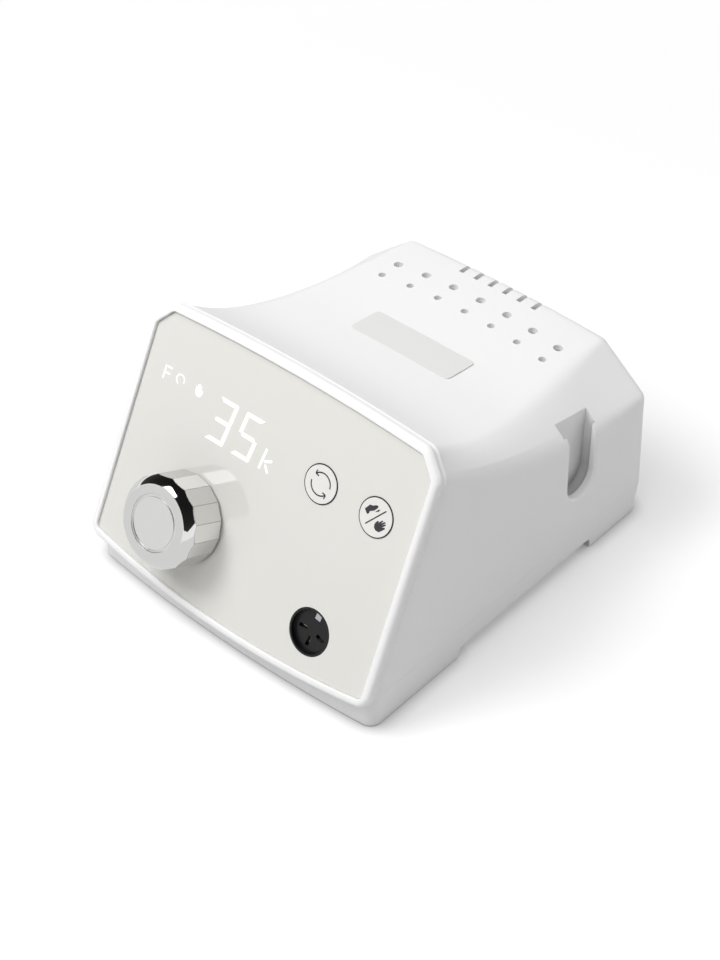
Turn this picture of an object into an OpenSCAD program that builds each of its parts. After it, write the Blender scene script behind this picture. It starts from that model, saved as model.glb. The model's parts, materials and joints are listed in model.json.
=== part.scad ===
// Desktop control unit of an electric nail drill, in millimetres.
// It stands on z = 0, its sloping front faces -Y, and x = 0 is its middle.

/* [Overall] */
// Width of the housing at the back, at the parting line
rear_w = 132.6; // [128:0.2:136]

/* [Front face] */
// Lean of the front face from upright, in degrees
face_lean = 26; // [22:1:30]
// Height of the panel's lower corners above the table
panel_z = 15.8; // [15:0.1:18]
// Panel height up to the start of the chamfers
panel_side_h = 80.4; // [78:0.2:82]
// Panel height up to the top corners
panel_h = 86.9; // [85:0.1:90]
// Rise of the top edge at its middle
panel_crown = 1.8; // [0.8:0.1:2.4]
// Drop of the bottom edge at its middle
panel_belly = 5.5; // [4:0.1:6]
// How far each side of the panel leans in, up to the chamfers
panel_taper = 1.3; // [0:0.1:3]
// Width of each chamfer at the panel's top
panel_chamfer = 6; // [4:0.2:9]
// Thickness of the panel
panel_t = 2.4; // [2:0.1:3]
// Width of the white rim around the panel
rim_w = 3.2; // [2.8:0.1:4]
// Panel width at its lower corners
panel_bottom_w = rear_w - 2 * rim_w;
// Panel width just below the top chamfers
panel_side_w = panel_bottom_w - 2 * panel_taper;
// Panel width along the top edge
panel_top_w = panel_side_w - 2 * panel_chamfer;
// How far the rim stands proud of the panel
rim_proud = 1.2; // [0.8:0.1:2]
// Radius of the rim's rounded outer edge
rim_round = 2; // [1:0.1:2.4]
// How far the frame's side stands proud of the shell
rim_step = 0.6; // [0.3:0.1:1.2]
// Depth of the cove around the frame's side
cove_d = 0.5; // [0.2:0.1:0.8]
// Depth of the frame behind the panel's face
frame_back = 3.8; // [3.6:0.1:5]
// Width of the ledge that carries the panel
ledge_w = 2.4; // [1.5:0.1:3]

/* [Housing] */
// Length of the housing from the panel's lower corners to the back
housing_len = 152.4; // [146:0.2:160]
// Height of the parting line between shell and tray
part_z = 14.5; // [13:0.1:15]
// Lean of the side walls at the back, in degrees
rear_side_draft = 2.1; // [0.5:0.1:3]
// Lean of the back wall, in degrees
rear_draft = 0.7; // [0.2:0.1:1.5]
// Height of the top at the rear row of vents
top_z = 72.3; // [70:0.2:76]
// Fall of the rear part of the top, in degrees
top_fall = 2; // [1:0.1:3]
// Distance from the back to where the top starts to sweep up
sweep_start = 29; // [24:1:36]
// Power of the curve with which the top sweeps up to the frame
sweep_power = 2.4; // [2:0.1:3]
// Fullness of the sweep next to the frame
sweep_full = 0.6; // [0:0.1:1.2]
// Width of the top at the back
rear_top_w = 90; // [84:1:96]
// Height of the lower edge of the sloping flank at the back
flank_z = 54; // [50:0.5:58]
// Power of the curve of that edge
flank_power = 1.75; // [1.5:0.05:2.2]
// Rise of the top at its middle
top_crown = 1.5; // [0.8:0.1:2]
// Swell of the flank a third of the way back
flank_swell = 1.3; // [0:0.1:2]
// Radius of the flank's long edges at the back
flank_round = 5; // [4:0.5:12]
// How much wider that radius is halfway to the frame
flank_soft = 6.5; // [0:0.5:8]
// Radius of the edges around the back
rear_round = 4.5; // [3:0.1:5.5]
// Wall thickness of the shell
wall = 2.4; // [2:0.1:3]
// Open line between two housing pieces
seam = 0.15; // [0.1:0.05:0.3]
// Open line between shell and tray
part_gap = 0.04; // [0.02:0.02:0.2]

/* [Tray] */
// How far each side of the tray comes in at the table
tray_in = 1; // [0.2:0.1:3]
// Width of the tray at the table
tray_w = rear_w - 2 * tray_in;
// Setback of the tray's front corners behind the panel's lower corners
tray_front = 3.2; // [2.8:0.1:4]
// Bow of the tray's front edge
tray_bow = 3.7; // [2:0.1:4.5]
// Setback of the tray's back at the table
tray_rear = 0.6; // [0.2:0.1:2]
// Radius of the tray's front corners
tray_front_round = 4.5; // [3:0.1:6]
// Height of the relieved edge between the feet
relief_h = 5; // [4:0.1:5.5]
// Start of the relief, from the panel's lower corners
relief_front = 48; // [44:0.5:54]
// Length of the relief
relief_len = 74; // [66:0.5:80]
// Radius of the relief's upper corners
relief_round = 2.4; // [1.8:0.1:3]
// Underside of the tray's floor
floor_z = 6; // [5.6:0.1:7]
// Thickness of the tray's floor
floor_t = 2.2; // [1.8:0.1:3]
// Thickness of the tongue that the shell drops over
tongue_t = 1.1; // [0.8:0.1:1.4]
// Clear space between that tongue and the shell
tongue_gap = 0.25; // [0.2:0.05:0.4]
// Height of that tongue above the parting line
tongue_h = 2; // [1.2:0.1:3]
// Radius of a rubber foot
foot_r = 5.5; // [4:0.1:6]
// Thickness of a rubber foot
foot_t = 2; // [1.5:0.1:3]
// Gap between the tray's skirt and the table
skirt_gap = 0.5; // [0.3:0.1:1]

/* [Vents] */
// Number of vents in a row
vent_count = 7; // [5:2:9]
// Distance between vents in a row
vent_pitch = 12.4; // [10:0.1:12.6]
// Diameter of the rear vents
vent_rear_d = 3.5; // [2.5:0.1:4.5]
// Diameter of the front vents
vent_front_d = 2.8; // [2:0.1:4]
// Distance from the back to the middle vent of the rear row
vent_setback = 17.2; // [15:0.1:20]
// Distance between the two rows
vent_rows = 9.1; // [7:0.1:11]
// Radius of the arc that the rows follow
vent_arc_r = 300; // [200:10:500]
// Number of slots over the rear edge
slot_count = 6; // [4:1:8]
// Distance between slots
slot_pitch = 6.7; // [5:0.1:7.5]
// Width of a slot
slot_w = 1.9; // [1.6:0.1:3]
// Length of a slot on the top
slot_len = 8.2; // [6:0.1:9]
// Depth of a slot down the back
slot_drop = 18; // [10:0.5:22]

/* [Top plate] */
// Width of the bare plate
plate_w = 44.8; // [36:0.2:50]
// Length of the plate
plate_len = 15.4; // [12:0.2:18]
// Distance from the back to the middle of the plate
plate_setback = 55.1; // [50:0.1:60]
// Thickness of the plate
plate_t = 0.8; // [0.5:0.1:1.2]
// How far the plate stands proud
plate_proud = 0.15; // [0.1:0.05:0.4]
// Corner radius of the plate
plate_round = 1.6; // [1:0.1:3]

/* [Rest socket] */
// Width of the socket's mouth in the side wall
mouth_w = 15; // [13:0.1:16]
// Width of the pocket behind the lips
pocket_w = 18; // [17:0.1:19]
// Depth of the pocket behind the lips
pocket_t = 4.4; // [4.2:0.1:5]
// Thickness of the lips at the parting line
lip_t = 3.6; // [3.2:0.1:4.6]
// Distance from the back to the middle of the socket
rest_setback = 39; // [36:0.1:44]
// Height of the centre of the mouth's round end
rest_z = 38.6; // [35:0.1:42]
// Radius of the mouth's rounded edge
lip_round = 1.5; // [0.6:0.1:1.8]
// Wall around the pocket
pocket_wall = 1.8; // [1.4:0.1:2.2]

/* [Knob] */
// Place of the knob across the panel
knob_u = -26.5; // [-30:0.5:-20]
// Place of the knob up the panel
knob_v = 22.5; // [21:0.1:26]
// Number of flats around the knob
knob_flats = 16; // [14:1:20]
// Radius across the corners of the flats
knob_r = 16.6; // [15:0.1:17]
// Height of the knob's face above the panel
knob_h = 17.2; // [16:0.1:20]
// Gap between the knob and the panel
knob_gap = 1; // [0.8:0.1:1.5]
// Radius of the flat face
knob_face_r = 13.9; // [13:0.1:14.4]
// Height of the sloping shoulder
knob_shoulder = 3.4; // [3:0.1:5]
// Bulge of the shoulder
knob_bulge = 0.35; // [0:0.05:0.6]
// Radius of the edge between face and shoulder
knob_edge = 0.5; // [0.4:0.1:1.2]
// Radius of the satin insert in the face
insert_r = 10.1; // [9:0.1:11]
// Thickness of the insert
insert_t = 1; // [0.8:0.1:1.5]
// Wall of the knob
knob_wall = 2.2; // [1.8:0.1:2.6]
// Travel of the knob when it is pressed
knob_travel = 0.5; // [0.3:0.1:0.6]

/* [Keys] */
// Place of the direction key across the panel
direction_u = 22.2; // [20:0.1:26]
// Place of the mode key across the panel
mode_u = 46.3; // [42:0.1:48]
// Place of both keys up the panel
key_v = 59.5; // [56:0.1:62]
// Radius of a key
key_r = 6.55; // [6:0.05:7.5]
// Gap around a key
key_gap = 0.4; // [0.3:0.05:0.6]
// How far a key stands proud of the panel
key_proud = 0.3; // [0.1:0.05:0.6]
// Travel of a key
key_travel = 0.4; // [0.2:0.05:0.5]

/* [Handpiece socket] */
// Place of the socket across the panel
socket_u = 35.6; // [32:0.1:40]
// Place of the socket up the panel
socket_v = 10.7; // [10:0.1:13]
// Radius of the hole for the socket
socket_hole_r = 8.5; // [8:0.1:9]
// Radius of the recess that takes the plug
socket_r = 7.7; // [7.2:0.1:7.8]
// Depth of the recess
socket_recess = 1.8; // [1.4:0.1:4]
// Depth of the socket behind the panel's face
socket_depth = 17; // [14:0.5:19]
// Distance from the middle to a contact slot
contact_r = 4; // [3.8:0.1:4.6]
// Length of a contact slot
contact_len = 3.6; // [3:0.1:4]
// Width of a contact slot
contact_w = 1.4; // [1.2:0.1:1.8]

/* [Control board] */
// Distance from the panel's face to the board
board_w = 12.5; // [12:0.1:14]
// Thickness of the boards
board_t = 1.6; // [1:0.2:2]
// Distance from the panel's side to the control board
board_in = 8.8; // [8:0.1:12]
// Half width of the control board
board_half = panel_side_w / 2 - board_in;
// Upper edge of the control board on the panel
board_top = 76; // [72:0.5:78]
// Lower edge of the control board beside the socket
board_mid = 25; // [24:0.5:27]
// Lower edge of the control board behind the knob
board_low = 12; // [10:0.5:14]

/* [Rear sockets] */
// Height of the rear sockets above the table
rear_z = 34; // [30:0.5:38]
// Place of the mains inlet
inlet_x = 36; // [32:0.5:42]
// Place of the power switch
rocker_x = 0; // [-4:0.5:4]
// Place of the pedal jack
jack_x = -36; // [-42:0.5:-32]
// Tilt of the rocker from off to on, in degrees
rocker_throw = 20; // [14:1:22]
// Radius of the pedal jack's bore
jack_r = 1.8; // [1.75:0.05:1.9]
// Depth of the pedal jack's bore
jack_depth = 15; // [12:0.5:18]

/* [Power board] */
// Width of the power board
power_w = 92; // [86:1:96]
// Length of the power board
power_len = 68; // [64:1:72]
// Distance from the back to the power board
power_setback = 30; // [28:0.5:34]
// Height of the pillars under the power board
power_pillar = 5; // [4:0.5:7]

/* [Fasteners] */
// Radius of a housing screw
screw_r = 1.5; // [1.3:0.05:1.6]
// Radius of a housing screw's head
screw_head_r = 2.9; // [2.6:0.1:3.2]
// Height of a screw head
screw_head_h = 2; // [1.6:0.1:2.4]
// Length of a housing screw below its head
screw_len = 16; // [14:0.5:18]
// Radius of a screw pillar
pillar_r = 4; // [3.8:0.1:4.4]
// Radius of a board screw
board_screw_r = 1; // [0.8:0.05:1.2]
// Clear space around a screw or a pushed-in piece
fit = 0.05; // [0.03:0.01:0.1]

/* [Hidden] */
$fn = 48;

// Rounding steps
arc_steps = 5;
belly_steps = 14;
crown_steps = 8;
big = 400;
overcut = 1;

// Place of the front face, so that the whole unit is centred on y = 0
knob_foremost = (knob_v - knob_face_r + knob_edge) * sin(face_lean)
    - (knob_h - knob_edge) * cos(face_lean) - knob_edge;
rocker_pivot_in = 1;
rocker_out = 4.2;
rocker_half = 6.8;
rocker_reach = rocker_out * cos(rocker_throw / 2) + rocker_half * sin(rocker_throw / 2) - rocker_pivot_in;
rear_proud = rocker_reach - (rear_z - part_z) * tan(rear_draft);
face_y = -(knob_foremost + housing_len + rear_proud) / 2;

// Small helpers
function mix(a, b, t) = a + (b - a) * t;
function unit(v) = v / norm(v);
function outward(a, b) = let (e = unit(b - a)) [e.y, -e.x];

// Outline moved outwards by d, for points that run anticlockwise
function moved_out(pts, d) = [
    for (i = [0 : len(pts) - 1])
        let (
            n = len(pts),
            p = pts[i],
            n1 = outward(pts[(i + n - 1) % n], p),
            n2 = outward(p, pts[(i + 1) % n])
        )
        p + d * (n1 + n2) / (1 + n1 * n2)
];

// Outline with true arcs at the corners that have a radius
function rounded(pts, radii, steps) = [
    for (i = [0 : len(pts) - 1])
        let (
            n = len(pts),
            p = pts[i],
            a = pts[(i + n - 1) % n],
            b = pts[(i + 1) % n],
            n1 = outward(a, p),
            n2 = outward(p, b),
            turn = acos(min(1, n1 * n2)),
            r = radii[i],
            centre = p - unit(p - a) * r * tan(turn / 2) - n1 * r
        )
        for (k = [0 : r > 0 ? steps : 0])
            r > 0 ? centre + r * turned(n1, turn * k / steps) : p
];
function turned(v, a) = [v.x * cos(a) - v.y * sin(a), v.x * sin(a) + v.y * cos(a)];

// Solid through a list of rings that run anticlockwise as seen from the first one
module loft(rings) {
    n = len(rings[0]);
    last = (len(rings) - 1) * n;
    sides = [
        for (i = [0 : len(rings) - 2], k = [0 : n - 1])
            let (a = i * n + k, b = i * n + (k + 1) % n)
            each [[a, b, b + n], [a, b + n, a + n]]
    ];
    caps = [[for (k = [n - 1 : -1 : 0]) k], [for (k = [0 : n - 1]) last + k]];
    polyhedron([for (r = rings) each r], concat(caps, sides), convexity = 8);
}

// Closed moulding through a loop of outlines
module ring_moulding(loops) {
    n = len(loops[0]);
    m = len(loops);
    faces = [
        for (j = [0 : m - 1], i = [0 : n - 1])
            let (
                here = j * n,
                next = ((j + 1) % m) * n,
                k = (i + 1) % n
            )
            each [[here + i, next + i, next + k], [here + i, next + k, here + k]]
    ];
    polyhedron([for (l = loops) each l], faces, convexity = 8);
}

// Front face: u runs across it, v up it and w out of it
module on_face() {
    translate([0, face_y, panel_z])
        rotate([90 - face_lean, 0, 0])
            children();
}
function face_z(v, w) = panel_z + v * cos(face_lean) + w * sin(face_lean);
function front_y(z, w) = face_y + (z - panel_z) * tan(face_lean) - w / cos(face_lean);

// Panel outline: bowed bottom, straight sides, chamfered top corners and a crowned top
function bowed(a, b, bow, steps) = [
    for (k = [0 : steps])
        let (t = k / steps)
        mix(a, b, t) + outward(a, b) * bow * 4 * t * (1 - t)
];
panel_corners = concat(
    bowed([-panel_bottom_w / 2, 0], [panel_bottom_w / 2, 0], panel_belly, belly_steps),
    [[panel_side_w / 2, panel_side_h]],
    bowed([panel_top_w / 2, panel_h], [-panel_top_w / 2, panel_h], panel_crown, crown_steps),
    [[-panel_side_w / 2, panel_side_h]]
);
side_corner = belly_steps + 1;
top_corner = side_corner + 1;
top_middle = top_corner + crown_steps / 2;
last_corner = len(panel_corners) - 1;
panel_corner_r = 2.5;
panel_radii = [
    for (i = [0 : last_corner])
        i == 0 || i == belly_steps || i == side_corner || i == top_corner
            || i == top_corner + crown_steps || i == last_corner ? panel_corner_r : 0
];
function face_outline(d) = rounded(
    moved_out(panel_corners, d),
    [for (r = panel_radii) r > 0 ? r + d : 0],
    arc_steps
);

// Housing outline where it meets the frame
rim_corners = moved_out(panel_corners, rim_w - rim_step);
frame_top_x = rim_corners[top_corner].x;
frame_top_z = face_z(rim_corners[top_middle].y, -frame_back);
frame_side_z = face_z(rim_corners[side_corner].y, -frame_back);
frame_crown = frame_top_z - face_z(rim_corners[top_corner].y, -frame_back);
function front_half(z) = mix(
    rim_corners[belly_steps].x, rim_corners[side_corner].x,
    (z - panel_z + frame_back * sin(face_lean)) / cos(face_lean) / panel_side_h
);
function rear_half(z) = rear_w / 2 - (z - part_z) * tan(rear_side_draft);
function side_x(z, s) = mix(front_half(z), rear_half(z), s);
back_y = face_y + housing_len;
function rear_y(z) = back_y - (z - part_z) * tan(rear_draft);

function side_at(y, z) = let (
    front = front_y(z, -frame_back),
    rear = rear_y(z) - rear_round
) side_x(z, (y - front) / (rear - front));

// Height of the top along the middle: a gentle fall at the back, a sweep up to the frame
front_top_y = front_y(frame_top_z, -frame_back);
sweep_y = back_y - sweep_start;
function fall_z(y) = top_z - (y - back_y + vent_setback) * tan(top_fall);
sweep_rise = frame_top_z - fall_z(front_top_y);
function sweep_share(t) = pow(t, sweep_power) + sweep_full * pow(t, 4) * (1 - t);
function ridge_z(y) = fall_z(y)
    + sweep_rise * sweep_share(max(0, sweep_y - y) / (sweep_y - front_top_y));

// Cross-section of the shell at station s, from 0 at the frame to 1 at the back
function crown_at(s) = mix(frame_crown, top_crown, s);
function ridge_at(s) = ridge_z(mix(front_top_y, rear_y(top_z), s));
function station_of(y, rounds) = rounds < 1 ? 0.5 : let (
    z = ridge_at(station_of(y, rounds - 1)),
    front = front_y(z, -frame_back),
    rear = rear_y(z) - rear_round
) (y - front) / (rear - front);
search_rounds = 6;
function surface_z(y) = ridge_at(station_of(y, search_rounds));
function flank_at(s) = flank_z + (frame_side_z - flank_z) * pow(1 - s, flank_power);
swell_peak = 4 / 27;
function swell_at(s) = flank_swell / swell_peak * s * pow(1 - s, 2);
flank_stops = [0.3, 0.5, 0.7];
ridge_stops = [2, 1, 0, -1, -2] / 3;
edge_index = 1;
top_index = edge_index + len(flank_stops) + 1;
last_index = 2 * top_index + 1 + len(ridge_stops);
soft_indices = [edge_index, top_index, last_index - top_index, last_index - edge_index];
least_round = 1;
function half_section(s) = let (
    edge = [side_x(flank_at(s), s), flank_at(s)],
    top = [mix(frame_top_x, rear_top_w / 2, s), ridge_at(s) - crown_at(s)],
    flank = [
        for (t = flank_stops)
            mix(edge, top, t) + outward(edge, top) * swell_at(s) * 4 * t * (1 - t)
    ]
) concat([[side_x(part_z, s), part_z], edge], flank, [top]);
function section(s, d, steps) = let (
    half = half_section(s),
    top = half[top_index],
    ridge = [for (t = ridge_stops) [t * top.x, top.y + crown_at(s) * (1 - pow(t, 2))]],
    raw = concat(half, ridge, [for (k = [top_index : -1 : 0]) [-half[k].x, half[k].y]]),
    r = max(least_round, mix(panel_corner_r + rim_w, flank_round, s) + flank_soft * 4 * s * (1 - s) - d),
    radii = [for (k = [0 : last_index]) max([for (q = soft_indices) q == k ? r : 0])]
) rounded(moved_out(raw, -d), radii, steps);
function with_floor(pts, z) = let (n = len(pts)) [
    for (i = [0 : n - 1])
        i == 0 || i == n - 1 ? [pts[i].x, z] : pts[i]
];
function set_at(pts, s, front_w, rear_in) = [
    for (p = pts) [p.x, mix(front_y(p.y, front_w), rear_y(p.y) - rear_in, s), p.y]
];
station_count = 18;
station_power = 1.15;
cavity_count = 10;
cavity_arc_steps = 2;
shell_stations = [for (i = [0 : station_count]) pow(i / station_count, station_power)];
cavity_stations = [for (i = [0 : cavity_count]) i / cavity_count];
edge_steps = 4;
function edge_section(k) = let (
    a = 90 * k / edge_steps,
    ring = with_floor(section(1, rear_round * (1 - cos(a)), arc_steps), part_z)
) set_at(ring, 1, -frame_back, rear_round * (1 - sin(a)));

module shell_outside() {
    loft(concat(
        [for (s = shell_stations) set_at(section(s, 0, arc_steps), s, -frame_back, rear_round)],
        [for (k = [1 : edge_steps]) edge_section(k)]
    ));
}

module shell_cavity() {
    loft([
        for (s = cavity_stations)
            let (ring = with_floor(section(s, wall, cavity_arc_steps), part_z - overcut))
            set_at(ring, s, overcut - frame_back, wall)
    ]);
}

// Screw pillars in the four corners
pillar_in = 5.9;
function pillar_x(y) = side_at(y, part_z) - pillar_in;
pillar_front_in = 21;
pillar_rear_in = 11.5;
pillar_front_y = face_y + pillar_front_in;
pillar_rear_y = back_y - pillar_rear_in;
pillar_top = 34;
pillar_overlap = 2;
pillar_skirt = 1;
screw_seat = part_z - 5;
screw_spare = 1;
screw_clear = 0.2;
head_clear = 0.3;
cross_w = 0.7;
cross_len = 1.3 * screw_head_r;
cross_deep = 1;
module at_pillars() {
    for (side = [-1, 1], y = [pillar_front_y, pillar_rear_y])
        translate([side * pillar_x(y), y, 0])
            children();
}

// T-shaped pocket for a handpiece rest, open at the top and through the side
rest_y = back_y - rest_setback;
lip_x = side_at(rest_y, part_z) - lip_t;
pocket_x = lip_x - pocket_t;
rest_side_x = side_at(rest_y, rest_z);
rest_lean = atan((rest_side_x - side_at(rest_y, rest_z + mouth_w)) / mouth_w);
lip_sink = 0.08;
lip_steps = 4;
lip_centre = [mouth_w / 2 + lip_round, -lip_round] + lip_sink * [-1, 1];
lip_edge = concat(
    [for (k = [0 : lip_steps]) lip_centre + lip_round * [-cos(90 * k / lip_steps), sin(90 * k / lip_steps)]],
    [
        [lip_centre.x, lip_round],
        [mouth_w / 2 - lip_round, lip_round],
        [mouth_w / 2 - lip_round, lip_centre.y]
    ]
);
module mouth_rounding() {
    translate([rest_side_x, rest_y, rest_z])
        rotate([0, -rest_lean, 0]) {
            rotate([0, 90, 0])
                rotate(-90)
                    rotate_extrude(angle = 180)
                        polygon(lip_edge);
            for (side = [-1, 1])
                linear_extrude(top_z - rest_z)
                    polygon([for (p = lip_edge) [p.y, side * p.x]]);
        }
}
module upright_slot(width, x0, x1, top) {
    translate([x0, 0, 0])
        rotate([90, 0, 90])
            linear_extrude(x1 - x0) {
                circle(d = width);
                translate([-width / 2, 0])
                    square([width, top]);
            }
}
module rest_pocket() {
    above = big;
    translate([0, rest_y, rest_z]) {
        upright_slot(pocket_w, pocket_x, lip_x, above);
        upright_slot(mouth_w, lip_x - overcut, rear_w, above);
    }
    mouth_rounding();
}
module rest_pocket_walls() {
    translate([0, rest_y, rest_z])
        upright_slot(pocket_w + 2 * pocket_wall, pocket_x - pocket_wall, rest_side_x, top_z - rest_z);
}
module both_sides() {
    children();
    mirror([1, 0, 0])
        children();
}

// Vents and slots in the top
module vent_row(d, y) {
    for (i = [0 : vent_count - 1]) {
        x = (i - (vent_count - 1) / 2) * vent_pitch;
        translate([x, y - pow(x, 2) / (2 * vent_arc_r), top_z / 2])
            cylinder(d = d, h = top_z);
    }
}
module rear_slots() {
    for (i = [0 : slot_count - 1]) {
        x = (i - (slot_count - 1) / 2) * slot_pitch;
        translate([x - slot_w / 2, back_y - slot_len, top_z - slot_drop])
            cube([slot_w, big, big]);
    }
}

// Seat of the bare plate, tilted to the top's fall at that place
plate_y = back_y - plate_setback;
plate_fall = atan((surface_z(plate_y - plate_len / 2) - surface_z(plate_y + plate_len / 2)) / plate_len);
module plate_shape(grow) {
    w = plate_w + 2 * grow;
    l = plate_len + 2 * grow;
    r = plate_round + grow;
    square([w - 2 * r, l], center = true);
    square([w, l - 2 * r], center = true);
    for (x = [-1, 1], y = [-1, 1])
        translate([x * (w / 2 - r), y * (l / 2 - r)])
            circle(r);
}
module on_plate() {
    translate([0, plate_y, surface_z(plate_y)])
        rotate([-plate_fall, 0, 0])
            children();
}

// Openings in the back wall
inlet_w = 26;
inlet_h = 13;
switch_w = 13;
switch_h = 19.2;
jack_bush_r = 4;
module at_rear(x) {
    translate([x, rear_y(rear_z), rear_z])
        rotate([rear_draft - 90, 0, 0])
            children();
}
module rear_openings() {
    cut = 3 * wall;
    at_rear(inlet_x)
        translate([-inlet_w / 2 - fit, -inlet_h / 2 - fit, -cut])
            cube([inlet_w + 2 * fit, inlet_h + 2 * fit, 2 * cut]);
    at_rear(rocker_x)
        translate([-switch_w / 2 - fit, -switch_h / 2 - fit, -cut])
            cube([switch_w + 2 * fit, switch_h + 2 * fit, 2 * cut]);
    at_rear(jack_x)
        translate([0, 0, -cut])
            cylinder(r = jack_bush_r + fit, h = 2 * cut);
}

module upper_shell() color("whitesmoke") {
    difference() {
        shell_outside();
        difference() {
            shell_cavity();
            both_sides()
                rest_pocket_walls();
            at_pillars()
                translate([0, 0, part_z - pillar_overlap])
                    cylinder(r = pillar_r, h = pillar_top - part_z + pillar_overlap);
        }
        both_sides()
            rest_pocket();
        vent_row(vent_rear_d, back_y - vent_setback);
        vent_row(vent_front_d, back_y - vent_setback - vent_rows);
        rear_slots();
        rear_openings();
        on_plate()
            translate([0, 0, plate_proud - plate_t])
                linear_extrude(big)
                    plate_shape(fit);
        at_pillars()
            translate([0, 0, part_z - overcut])
                cylinder(r = screw_r + fit, h = screw_seat + screw_len + screw_spare - part_z + overcut);
    }
}

// Tray outline at the table (t = 0) and at the parting line (t = 1)
function tray_corners(t) = let (
    front = mix(tray_w / 2, front_half(part_z), t),
    rear = mix(tray_w, rear_w, t) / 2,
    y0 = face_y + tray_front,
    y1 = back_y - mix(tray_rear, 0, t)
) concat(bowed([-front, y0], [front, y0], tray_bow, belly_steps), [[rear, y1], [-rear, y1]]);
tray_radii = [
    for (i = [0 : belly_steps + 2])
        i == 0 || i == belly_steps ? tray_front_round : i > belly_steps ? rear_round : 0
];
function tray_radii_in(d) = [for (r = tray_radii) r > 0 ? max(least_round, r - d) : 0];
function tray_ring(t, d, z) = [
    for (p = rounded(moved_out(tray_corners(t), -d), tray_radii_in(d), arc_steps))
        [p.x, p.y, z]
];
function height_share(z) = (z - skirt_gap) / (part_z - skirt_gap);
module tray_block(d, z0, z1) {
    loft([tray_ring(height_share(z1), d, z1), tray_ring(height_share(z0), d, z0)]);
}
tongue_in = wall + tongue_gap;
tray_wall = tongue_in + tongue_t;
module tongue_block() {
    loft([tray_ring(1, tongue_in, part_z + tongue_h), tray_ring(1, tongue_in, floor_z)]);
}
relief_steps = 6;
module relief() {
    y0 = face_y + relief_front;
    translate([-big / 2, 0, 0])
        rotate([90, 0, 90])
            linear_extrude(big)
                polygon(rounded(
                    [[y0, -overcut], [y0 + relief_len, -overcut], [y0 + relief_len, relief_h], [y0, relief_h]],
                    [0, 0, relief_round, relief_round],
                    relief_steps
                ));
}
module in_front_of_housing(gap) {
    on_face()
        translate([-big / 2, -big / 2, -frame_back - gap])
            cube([big, big, big]);
}

// Pillars under the power board
power_y = back_y - power_setback - power_len;
power_z = floor_z + floor_t + power_pillar;
power_hole_in = 5;
power_pillar_r = 3;
module at_power_holes() {
    for (x = [-1, 1], y = [power_hole_in, power_len - power_hole_in])
        translate([x * (power_w / 2 - power_hole_in), power_y + y, 0])
            children();
}
foot_in = 16;
foot_rear_in = 20;
foot_gap = 0.5;
foot_from_pillar = pillar_r + pillar_skirt + foot_r + foot_gap;
front_foot = [pillar_x(pillar_front_y) - foot_from_pillar, face_y + tray_front + foot_in];
rear_foot = [pillar_x(pillar_rear_y) - foot_from_pillar, back_y - foot_rear_in];
module at_feet() {
    for (side = [-1, 1], foot = [front_foot, rear_foot])
        translate([side * foot.x, foot.y, 0])
            children();
}

module base_tray() color("white") {
    difference() {
        union() {
            tray_block(0, skirt_gap, part_z - part_gap);
            tongue_block();
        }
        difference() {
            tray_block(tray_wall, floor_z + floor_t, part_z + tongue_h + overcut);
            at_pillars()
                cylinder(r = pillar_r, h = part_z - seam);
            at_power_holes()
                cylinder(r = power_pillar_r, h = power_z);
        }
        difference() {
            tray_block(tray_wall, -overcut, floor_z);
            at_feet()
                translate([0, 0, foot_t])
                    cylinder(r = foot_r, h = floor_z);
            at_pillars()
                translate([0, 0, skirt_gap])
                    cylinder(r = pillar_r + pillar_skirt, h = floor_z);
        }
        relief();
        in_front_of_housing(seam);
        at_socket()
            translate([0, 0, -flange_front - flange_t - overcut])
                cylinder(r = flange_r + flange_clear, h = big);
        at_pillars() {
            translate([0, 0, -overcut])
                cylinder(r = screw_head_r + head_clear, h = screw_seat + overcut);
            cylinder(r = screw_r + screw_clear, h = big);
            translate([0, 0, part_z - seam])
                cylinder(r = pillar_r + seam, h = big);
        }
        at_power_holes()
            translate([0, 0, power_z - board_screw_deep])
                cylinder(r = board_screw_r + fit, h = board_screw_deep + overcut);
    }
}

module rubber_feet() color("dimgray") {
    at_feet()
        cylinder(r = foot_r, h = foot_t);
}

module housing_screws() color("silver") {
    at_pillars()
        translate([0, 0, screw_seat]) {
            cylinder(r = screw_r, h = screw_len);
            difference() {
                translate([0, 0, -screw_head_h])
                    cylinder(r = screw_head_r, h = screw_head_h);
                for (a = [0, 90])
                    rotate(a)
                        translate([-cross_w / 2, -cross_len / 2, -screw_head_h - overcut])
                            cube([cross_w, cross_len, cross_deep + overcut]);
            }
        }
}

// Frame: a rounded rim in front, a band around the side and a ledge behind the panel
panel_gap = 0.12;
rim_inner = 0.3;
rim_steps = 4;
function rim_point(a) = [rim_w - rim_round * (1 - cos(a)), rim_proud - rim_round * (1 - sin(a))];
cove_steps = 5;
cove_len = frame_back - seam + rim_proud - rim_round;
function cove_point(t) = [rim_w - cove_d * sin(180 * t), seam - frame_back + cove_len * t];
frame_profile = concat(
    [for (k = [0 : cove_steps - 1]) cove_point(k / cove_steps)],
    [for (k = [0 : rim_steps]) rim_point(90 * k / rim_steps)],
    [[panel_gap + rim_inner, rim_proud], [panel_gap, rim_proud - rim_inner]],
    [[panel_gap, -panel_t], [-ledge_w, -panel_t], [-ledge_w, seam - frame_back]]
);
clip_w = 10;
clip_t = 1.8;
clip_len = 7;
clip_root = 1;
clip_places = [30, 58];
clip_u = panel_side_w / 2 - 1.2;
module front_frame() color("white") {
    on_face() {
        ring_moulding([
            for (p = frame_profile)
                [for (q = face_outline(p[0])) [q.x, q.y, p[1]]]
        ]);
        for (side = [-1, 1], v = clip_places)
            translate([side * clip_u - clip_t / 2, v, -frame_back - clip_len])
                cube([clip_t, clip_w, clip_len + clip_root]);
    }
}

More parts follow.
